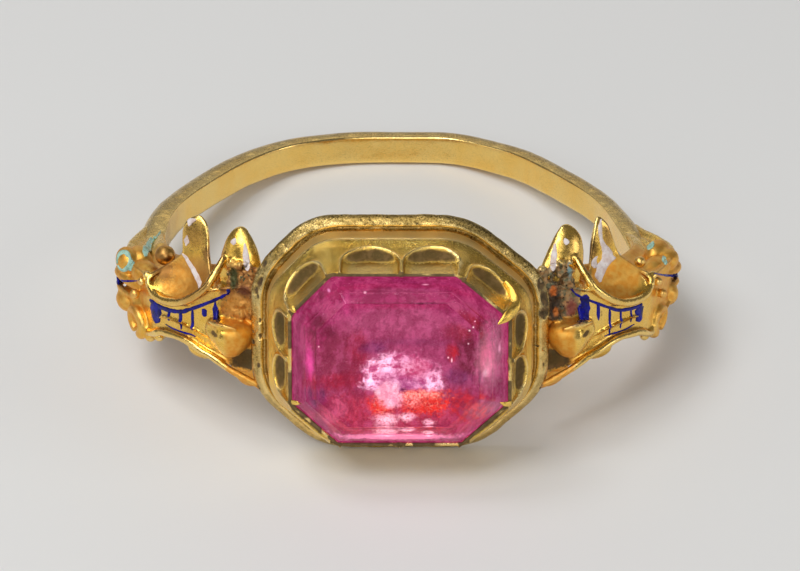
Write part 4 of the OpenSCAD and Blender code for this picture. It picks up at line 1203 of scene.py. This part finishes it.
def wrapped(target, points, how, turn):
    """Points wrapped onto an object by a modifier. The rows of turn are its directions, and a projection
    goes against the last of them."""
    mesh = bpy.data.meshes.new("loose")
    mesh.from_pydata((points.reshape(-1, 3) @ turn.T).tolist(), [], [])
    loose = bpy.data.objects.new("loose", mesh)
    loose.matrix_world = Matrix(turn.T.tolist()).to_4x4()
    bpy.context.scene.collection.objects.link(loose)
    wrap = loose.modifiers.new("wrap", "SHRINKWRAP")
    wrap.target = target
    wrap.wrap_method = how
    wrap.use_project_z = True
    wrap.use_positive_direction = False
    wrap.use_negative_direction = True
    done = loose.evaluated_get(bpy.context.evaluated_depsgraph_get()).to_mesh()
    found = np.empty(points.size)
    done.vertices.foreach_get("co", found)
    bpy.data.objects.remove(loose)
    return (found.reshape(-1, 3) @ turn).reshape(points.shape)


def coat(grid, thick):
    """Closed strip over rows of places on the gold: it is thickest along its middle and dips ENAMEL_DEPTH
    under them."""
    up = unit(np.cross(np.gradient(grid, axis=0), np.gradient(grid, axis=1)), 1e-9)
    up *= np.sign((up * grid * (1, 1, 0.2)).sum())
    dome = thick * np.sqrt(np.maximum(1 - ACROSS_STRIP ** 2, 0.0))[:, None] + EDGE_PROUD
    return skin(np.concatenate([grid + up * dome, (grid - up * ENAMEL_DEPTH)[:, ::-1]], 1))


def glaze(target, rows, side, thick, ragged, seen=False):
    """A strip of enamel on an object: along rows of angle, radius, height and half-width it lies across a
    direction."""
    t, r, w, half = spline(rows, 8 * len(rows)).T
    path = at(t, r, w)
    half = np.maximum(half, LEAST_HALF) * (1 + ragged * noise(path, 0.16, 77))
    over = (half[:, None] * ACROSS_STRIP)[..., None] * np.asarray(side)
    grid = laid_on(target, path[:, None] + over, seen)
    grid[1:-1] = (grid[:-2] + 2 * grid[1:-1] + grid[2:]) / 4
    return coat(grid, thick)


# Enamel as angle, radius, height, half-width: the blue line under the rim
BORDER = (
    (58.0, 11.3, -0.02, 0.04), (57, 11.3, -0.05, 0.08), (55, 11.3, -0.07, 0.08),
    (52.6, 11.3, -0.04, 0.075), (50.3, 11.28, 0.03, 0.075), (48.5, 11.28, 0.10, 0.08),
    (46.9, 11.28, 0.21, 0.08), (44.5, 11.25, 0.45, 0.075), (42.2, 11.2, 0.70, 0.07),
    (39.8, 11.05, 0.97, 0.06), (37.6, 11.0, 1.2, 0.055), (36.2, 10.95, 1.42, 0.03))

# Blue stripes: the panel's radius there, the rows of one stripe, then for each its angle, top, bottom and
# half-width at the top and at the bottom
PANEL_R = 11.28
STRIPE_ROWS = 9
STRIPES_LEFT = (
    (55.9, -0.05, -0.84, 0.33, 0.22), (51.3, -0.03, -0.44, 0.065, 0.05), (47.9, 0.1, -0.6, 0.09, 0.04),
    (44.7, 0.39, -0.47, 0.06, 0.05), (41.7, 0.56, 0.24, 0.09, 0.09), (38.9, 0.95, 0.46, 0.05, 0.11))
STRIPES_RIGHT = (
    (54.1, -0.03, -0.66, 0.22, 0.16), (51.4, 0.02, -0.5, 0.035, 0.03), (48.3, 0.14, -0.57, 0.05, 0.04),
    (45.3, 0.43, -0.7, 0.05, 0.04), (42.4, 0.79, 0.06, 0.07, 0.06), (39.0, 1.2, 0.24, 0.2, 0.17))
STRIPES = {False: STRIPES_LEFT, True: STRIPES_RIGHT}

# The fine blue line along the stripes' lower ends
LOW_LINE = (
    (52.5, 11.3, -0.66, 0.015), (50.3, 11.3, -0.69, 0.03), (47.5, 11.3, -0.67, 0.035),
    (45.3, 11.28, -0.66, 0.035), (44.0, 11.28, -0.68, 0.02))

# White on the leaves
WHITE_REAR_LEFT = (
    ((53.6, 10.3, 1.95, 0.03), (53.0, 10.25, 1.82, 0.12), (50.6, 10.2, 1.42, 0.14),
        (47.8, 10.35, 1.12, 0.11), (46.2, 10.6, 1.0, 0.03)),
    ((53.6, 10.0, 3.0, 0.03), (53.1, 10.0, 3.22, 0.14), (52.3, 9.95, 3.34, 0.15),
        (51.5, 9.95, 3.4, 0.03)),
    ((53.9, 10.1, 2.2, 0.03), (53.7, 10.1, 2.42, 0.11), (53.5, 10.1, 2.65, 0.03)))
WHITE_REAR_RIGHT = (
    ((50.3, 9.95, 3.45, 0.04), (50.0, 9.95, 3.2, 0.08), (49.8, 10.0, 2.85, 0.09),
        (50.4, 10.0, 2.5, 0.11), (51.2, 10.1, 2.15, 0.15), (50.8, 10.2, 1.88, 0.30),
        (49.2, 10.25, 1.66, 0.36), (47.8, 10.3, 1.45, 0.24), (47.2, 10.4, 1.15, 0.05)),
    ((47.8, 10.1, 2.1, 0.04), (47.0, 10.1, 1.92, 0.16), (46.8, 10.2, 1.7, 0.05)))
WHITE_REAR = {False: WHITE_REAR_LEFT, True: WHITE_REAR_RIGHT}
WHITE_FRONT = (
    ((35.6, 10.1, 3.2, 0.03), (35.4, 10.1, 2.95, 0.10), (35.2, 10.1, 2.6, 0.13),
        (35.0, 10.1, 2.3, 0.13), (34.9, 10.1, 2.1, 0.03)),
    ((38.6, 10.1, 3.0, 0.03), (38.5, 10.15, 3.1, 0.12), (38.3, 10.15, 3.22, 0.10),
        (38.2, 10.1, 3.3, 0.02)))

# Blue line between the bosses
GROOVE_LEFT = (
    (71.5, 11.6, -0.16, 0.02), (70, 11.6, -0.05, 0.05), (67.5, 11.6, 0.14, 0.05),
    (65, 11.6, 0.32, 0.04), (62.5, 11.55, 0.5, 0.03), (60.5, 11.5, 0.65, 0.01))
GROOVE_RIGHT = (
    (71.5, 11.4, 0.05, 0.02), (69.5, 11.4, 0.18, 0.045), (67, 11.35, 0.36, 0.05),
    (64.5, 11.3, 0.55, 0.045), (62, 11.25, 0.76, 0.04), (60.3, 11.2, 0.9, 0.015))
GROOVE = {False: GROOVE_LEFT, True: GROOVE_RIGHT}

# Pale turquoise line on the tail
TAIL_LINE_LEFT = (
    (91, 9.45, 0.72, 0.03), (88.5, 9.5, 0.72, 0.08), (85, 9.6, 0.73, 0.10), (81, 9.8, 0.74, 0.11),
    (77.5, 10.0, 0.75, 0.12), (74, 10.2, 0.75, 0.12), (70.5, 10.4, 0.75, 0.04))
TAIL_LINE_RIGHT = (
    (78.5, 10.0, 0.75, 0.02), (77, 10.0, 0.75, 0.09), (75.3, 10.0, 0.76, 0.1), (73.5, 10.03, 0.78, 0.03))
TAIL_LINE = {False: TAIL_LINE_LEFT, True: TAIL_LINE_RIGHT}


def stripe_rows(t, top, bottom, wide_top, wide_bottom):
    """Rows of one stripe of the panel from its top to its bottom, narrow at both ends."""
    k = np.linspace(0, 1, STRIPE_ROWS)
    narrow = np.minimum(np.minimum(1, 9 * k + 0.4), 5.5 * (1 - k) + 0.15)
    half = 1.25 * (wide_top + (wide_bottom - wide_top) * k) * narrow
    return np.stack([np.full_like(k, t), np.full_like(k, PANEL_R), top + (bottom - top) * k, half], -1)


def enamels(lag, right, gold):
    """The enamel of one shoulder: for each kind, the strips laid on its gold."""
    target = bpy.data.objects.new("skin", mesh_of("skin", gold))
    bpy.context.scene.collection.objects.link(target)
    level = (0, 0, 1)
    border = np.array(BORDER) * (1, 1, 1, 0.95 if right else 1.2) + (0, 0, 0.06 if right else 0.0, 0)
    if right:
        border = border[2:]
    made = dict(
        border=[glaze(target, border, level, 0.03, 0.35), glaze(target, LOW_LINE, level, 0.02, 0.4)],
        stripes=[glaze(target, stripe_rows(*row), across(row[0]), 0.03, 0.3) for row in STRIPES[right]],
        groove=[glaze(target, GROOVE[right], level, 0.02, 0.3, True)],
        rear_white=[glaze(target, rows, across(30) + (0, 0, 0.15), 0.03, 0.4, True)
                    for rows in WHITE_REAR[right]],
        front_white=[glaze(target, rows, across(20), 0.03, 0.3, True) for rows in WHITE_FRONT],
        tail=[glaze(target, TAIL_LINE[right], (-1, 0, 0), 0.04, 0.2, True)],
        boss=[boss_ring(target, BOSS_T + lag, right)])
    bpy.data.objects.remove(target)
    return {kind: mirrored(join(strips)) if right else join(strips) for kind, strips in made.items()}


def boss_ring(target, boss_t, right):
    """Turquoise ring on the upper boss: a glazed round strip, of which a small one is left on the worn right
    boss."""
    if right:
        a = np.radians(np.linspace(0, 350, 50))
        middle, radius, half = at(65.6, 11.2, 1.08), 0.1, 0.085
    else:
        a = np.radians(np.linspace(-30, 320, 70))
        middle, radius, half = at(67.5, 11.45, 0.93), 0.34, 0.15
    radius = radius * (1 + 0.05 * np.sin(a * 3))
    half = half * np.sqrt(np.sin(np.linspace(0.05, np.pi - 0.05, len(a)))) * (1 + 0.1 * np.sin(a * 5))
    far = (radius[:, None] + half[:, None] * ACROSS_STRIP)[..., None]
    upward = np.array((0, 0, 1)) - at(boss_t, 0.35, 0.0)
    round_it = np.cos(a)[:, None, None] * across(boss_t - 12) + np.sin(a)[:, None, None] * upward
    return coat(laid_on(target, middle + far * round_it, right), 0.03)


# Crust beside the bezel: rust, its light bloom, then the colours of its two kinds of specks
CRUST_LEFT = ((0.34, 0.13, 0.03), (0.54, 0.27, 0.08), (0.24, 0.09, 0.03), (0.05, 0.07, 0.035))
CRUST_RIGHT = ((0.34, 0.24, 0.12), (0.46, 0.26, 0.11), (0.14, 0.14, 0.08), (0.05, 0.028, 0.018))

# Stains on the crust and marks on the gold: x, w, half-width, half-height, colour, share
STAINS_LEFT = (
    (-6.29, 1.93, 0.16, 0.42, (0.06, 0.08, 0.03), 0.9), (-5.9, 1.5, 0.3, 0.24, (0.12, 0.035, 0.02), 0.9),
    (-6.2, 0.85, 0.65, 0.42, (0.66, 0.30, 0.05), 0.6), (-6.4, 2.6, 0.4, 0.22, (0.85, 0.50, 0.12), 0.9))
# The first two marks on the left darken its dish: painted shade
MARKS_LEFT = (
    (-8.1, 1.2, 1.0, 0.55, (0.50, 0.23, 0.05), 0.6), (-9.1, 1.4, 0.45, 0.45, (0.34, 0.16, 0.05), 0.8),
    (-7.35, 2.2, 0.2, 0.25, (0.20, 0.08, 0.03), 0.8), (-7.85, 2.75, 0.45, 0.5, (0.46, 0.22, 0.06), 0.6),
    (-7.6, 1.7, 0.6, 0.3, (0.60, 0.32, 0.10), 0.5), (-6.9, 2.6, 0.35, 0.5, (0.60, 0.33, 0.10), 0.6))
STAINS_RIGHT = (
    (5.85, 1.0, 0.28, 0.85, (0.030, 0.020, 0.017), 0.9), (5.8, 1.55, 0.13, 0.2, (0.62, 0.16, 0.03), 0.9),
    (6.5, 0.75, 0.22, 0.35, (0.26, 0.07, 0.06), 0.9), (6.43, 2.2, 0.09, 0.32, (0.22, 0.34, 0.34), 0.9),
    (5.9, 0.72, 0.1, 0.13, (0.66, 0.20, 0.04), 0.8))
MARKS_RIGHT = (
    (7.3, 2.35, 0.26, 0.42, (0.10, 0.045, 0.018), 0.85), (7.95, 2.85, 0.2, 0.55, (0.46, 0.24, 0.08), 0.7),
    (6.6, 2.75, 0.3, 0.5, (0.60, 0.36, 0.12), 0.5))


def main():
    """Makes every piece of the ring, and gives the foil its better material."""
    gold_box = old_gold("gold of the box", brushed=(1.0, 6.0, 1.0), rough=0.2, low=(0.88, 0.63, 0.33),
                        plain=(0.94, 0.62, 0.20), pale=(0.97, 0.69, 0.25))
    gold_arch = old_gold("gold of the arcade", brushed=(1.0, 3.0, 1.0), rough=0.22, deep=0.8,
                         low=(0.92, 0.60, 0.15), soft=(0.12, 0.85), residue=(0.030, 0.015, 0.009),
                         plain=(1.0, 0.61, 0.11), pale=(1.0, 0.67, 0.15))
    gold_hoop = old_gold("gold of the hoop", rough=0.22, plain=(1.0, 0.65, 0.17), pale=(1.0, 0.71, 0.23))
    gold_left = old_gold("gold of the left shoulder", rough=0.27, crust=CRUST_LEFT,
                         stains=STAINS_LEFT, marks=MARKS_LEFT)
    gold_right = old_gold("gold of the right shoulder", rough=0.27, crust=CRUST_RIGHT, stains=STAINS_RIGHT,
                          marks=MARKS_RIGHT)
    blue = enamel("blue enamel", (0.006, 0.008, 0.30), (0.004, 0.003, 0.06), 0.72)
    white = enamel("white enamel", (0.84, 0.78, 0.77), (0.66, 0.52, 0.47), 0.74)
    turquoise = enamel("turquoise enamel", (0.42, 0.66, 0.55), (0.24, 0.42, 0.34), 0.60)

    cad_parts["foil"].data.materials[0] = crumpled_foil()
    shell, grime, tarnish = bezel_box()
    high = shell[0][:, 1]
    rubbed_and_lit = rise(high, 9.54, 9.62) * (1 - rise(high, SEAM_V - 0.08, SEAM_V - 0.03))
    piece("bezel_box", shell, gold_box, "gold", ("ring_body",), hollow=hollow_of(shell, 30) - 0.07 * rubbed_and_lit,
          grime=grime, tarnish=tarnish, matt=rubbed_and_lit)
    shell = hoop()
    # Painted dark reflection on the hoop's upward faces
    upward = normals_of(shell)[:, 2]
    piece("hoop", shell, gold_hoop, "gold", ("ring_body",), hollow=hollow_of(shell, 10),
          grime=np.zeros(len(shell[0])), tarnish=0.7 * rise(upward, 0.3, 0.8))
    shell, grime, tarnish, rubbed_and_lit = collet()
    piece("arcade", shell, gold_arch, "gold", ("collet",),
          hollow=hollow_of(shell, 24) - 0.03 * rubbed_and_lit, grime=grime, tarnish=tarnish)
    shell = join(claws())
    piece("claws", shell, gold_arch, "gold", ("collet",), hollow=np.zeros(len(shell[0])),
          grime=np.zeros(len(shell[0])))
    shell = stone()
    gem = piece("cut_stone", shell, clear_stone("stone's table", (0.92, 0.53, 0.77), 0.8), "tourmaline",
                ("stone",), smooth=False)
    # The facets' glass is tinted deeper than the table's: painted shade
    gem.data.materials.append(clear_stone("stone's facets", (0.95, 0.50, 0.70)))
    gem.data.materials.append(glowing_foiled_back())
    corners = np.concatenate([shell[0][shell[1]].mean(1), shell[0][shell[2]].mean(1)])
    finish = np.where(corners[:, 1] < GIRDLE_V - 0.1, 2,
                      np.where(corners[:, 1] < GIRDLE_V + CROWN_H - 0.006, 1, 0))
    gem.data.polygons.foreach_set("material_index", finish.astype(np.int32))
    for side, lag, out, seed, right in (("left", 0, LEFT_OUT, 40, False),
                                        ("right", SCROLL_LAG, 0, 60, True)):
        gold, deep, grime, crust, warm = shoulder(lag, out, seed)
        coats = enamels(lag, right, gold)
        paint = gold_right if right else gold_left
        piece("shoulder_" + side, mirrored(gold) if right else gold, paint, "gold", ("ring_body",),
              hollow=deep, grime=grime, crust=crust, warm=warm)
        for kind, paint, slot, node in (("border", blue, "blue_enamel", "blue_border_"),
                                        ("stripes", blue, "blue_enamel", "blue_stripes_"),
                                        ("groove", blue, "blue_enamel", "groove_enamel_"),
                                        ("rear_white", white, "white_enamel", "rear_leaf_white_"),
                                        ("front_white", white, "white_enamel", "front_leaf_white_"),
                                        ("boss", turquoise, "turquoise_enamel", "boss_enamel_"),
                                        ("tail", turquoise, "turquoise_enamel", "tail_enamel_")):
            piece(kind + "_" + side, coats[kind], paint, slot, (node + side,))


main()

# Camera at the photograph's angle, floor and light

camera = bpy.data.objects.new("camera", bpy.data.cameras.new("camera"))
bpy.context.scene.collection.objects.link(camera)
bpy.context.scene.camera = camera
elevation = math.radians(VIEW_OVER_RING) + LIE_TILT
back = Vector((0, -math.cos(elevation), math.sin(elevation)))
camera.location = Vector((0, 0, AIM_HEIGHT)) + back * CAMERA_FAR
camera.rotation_euler = back.to_track_quat("Z", "Y").to_euler()
camera.data.lens = LENS
camera.data.sensor_width = SENSOR
camera.data.clip_start = 0.01

floor = bpy.data.objects.new("floor", bpy.data.meshes.new("floor"))
floor.data.from_pydata([(-1, -1, 0), (1, -1, 0), (1, 1, 0), (-1, 1, 0)], [], [(0, 1, 2, 3)])
bpy.context.scene.collection.objects.link(floor)
paper = Paint("paper", Roughness=0.85)
paper.surface.inputs["Base Color"].default_value = (0.80, 0.80, 0.79, 1)
floor.data.materials.append(paper.material)

# Soft rectangular lights that face the ring: name, place, width and height in metres, power in watts
RING_MIDDLE = Vector((0, 0, 0.004))
LAMPS = (
    ("upper left", (-0.13, -0.12, 0.27), (0.14, 0.14), 0.36),
    ("behind", (-0.12, 0.04, 0.30), (0.10, 0.10), 0.17),
    ("far behind", (0, 0.34, 0.14), (0.5, 0.14), 0.17),
    ("above", (-0.04, -0.16, 0.31), (0.2, 0.2), 0.13),
    ("front", (-0.02, -0.34, 0.20), (0.2, 0.2), 0.34),
    ("right", (0.30, -0.10, 0.10), (0.14, 0.14), 0.16),
    ("left", (-0.30, -0.08, 0.10), (0.14, 0.14), 0.06))

for name, place, size, power in LAMPS:
    lamp = bpy.data.objects.new(name, bpy.data.lights.new(name, "AREA"))
    lamp.data.shape = "RECTANGLE"
    lamp.data.size, lamp.data.size_y = size
    lamp.data.energy = power
    lamp.location = place
    lamp.rotation_euler = (Vector(place) - RING_MIDDLE).to_track_quat("Z", "Y").to_euler()
    bpy.context.scene.collection.objects.link(lamp)

world = bpy.data.worlds.new("world")
bpy.context.scene.world = world
world.use_nodes = True
background = world.node_tree.nodes["Background"]
background.inputs["Color"].default_value = (1.0, 0.97, 0.94, 1)
background.inputs["Strength"].default_value = 0.14
bpy.context.scene.view_settings.view_transform = "Standard"
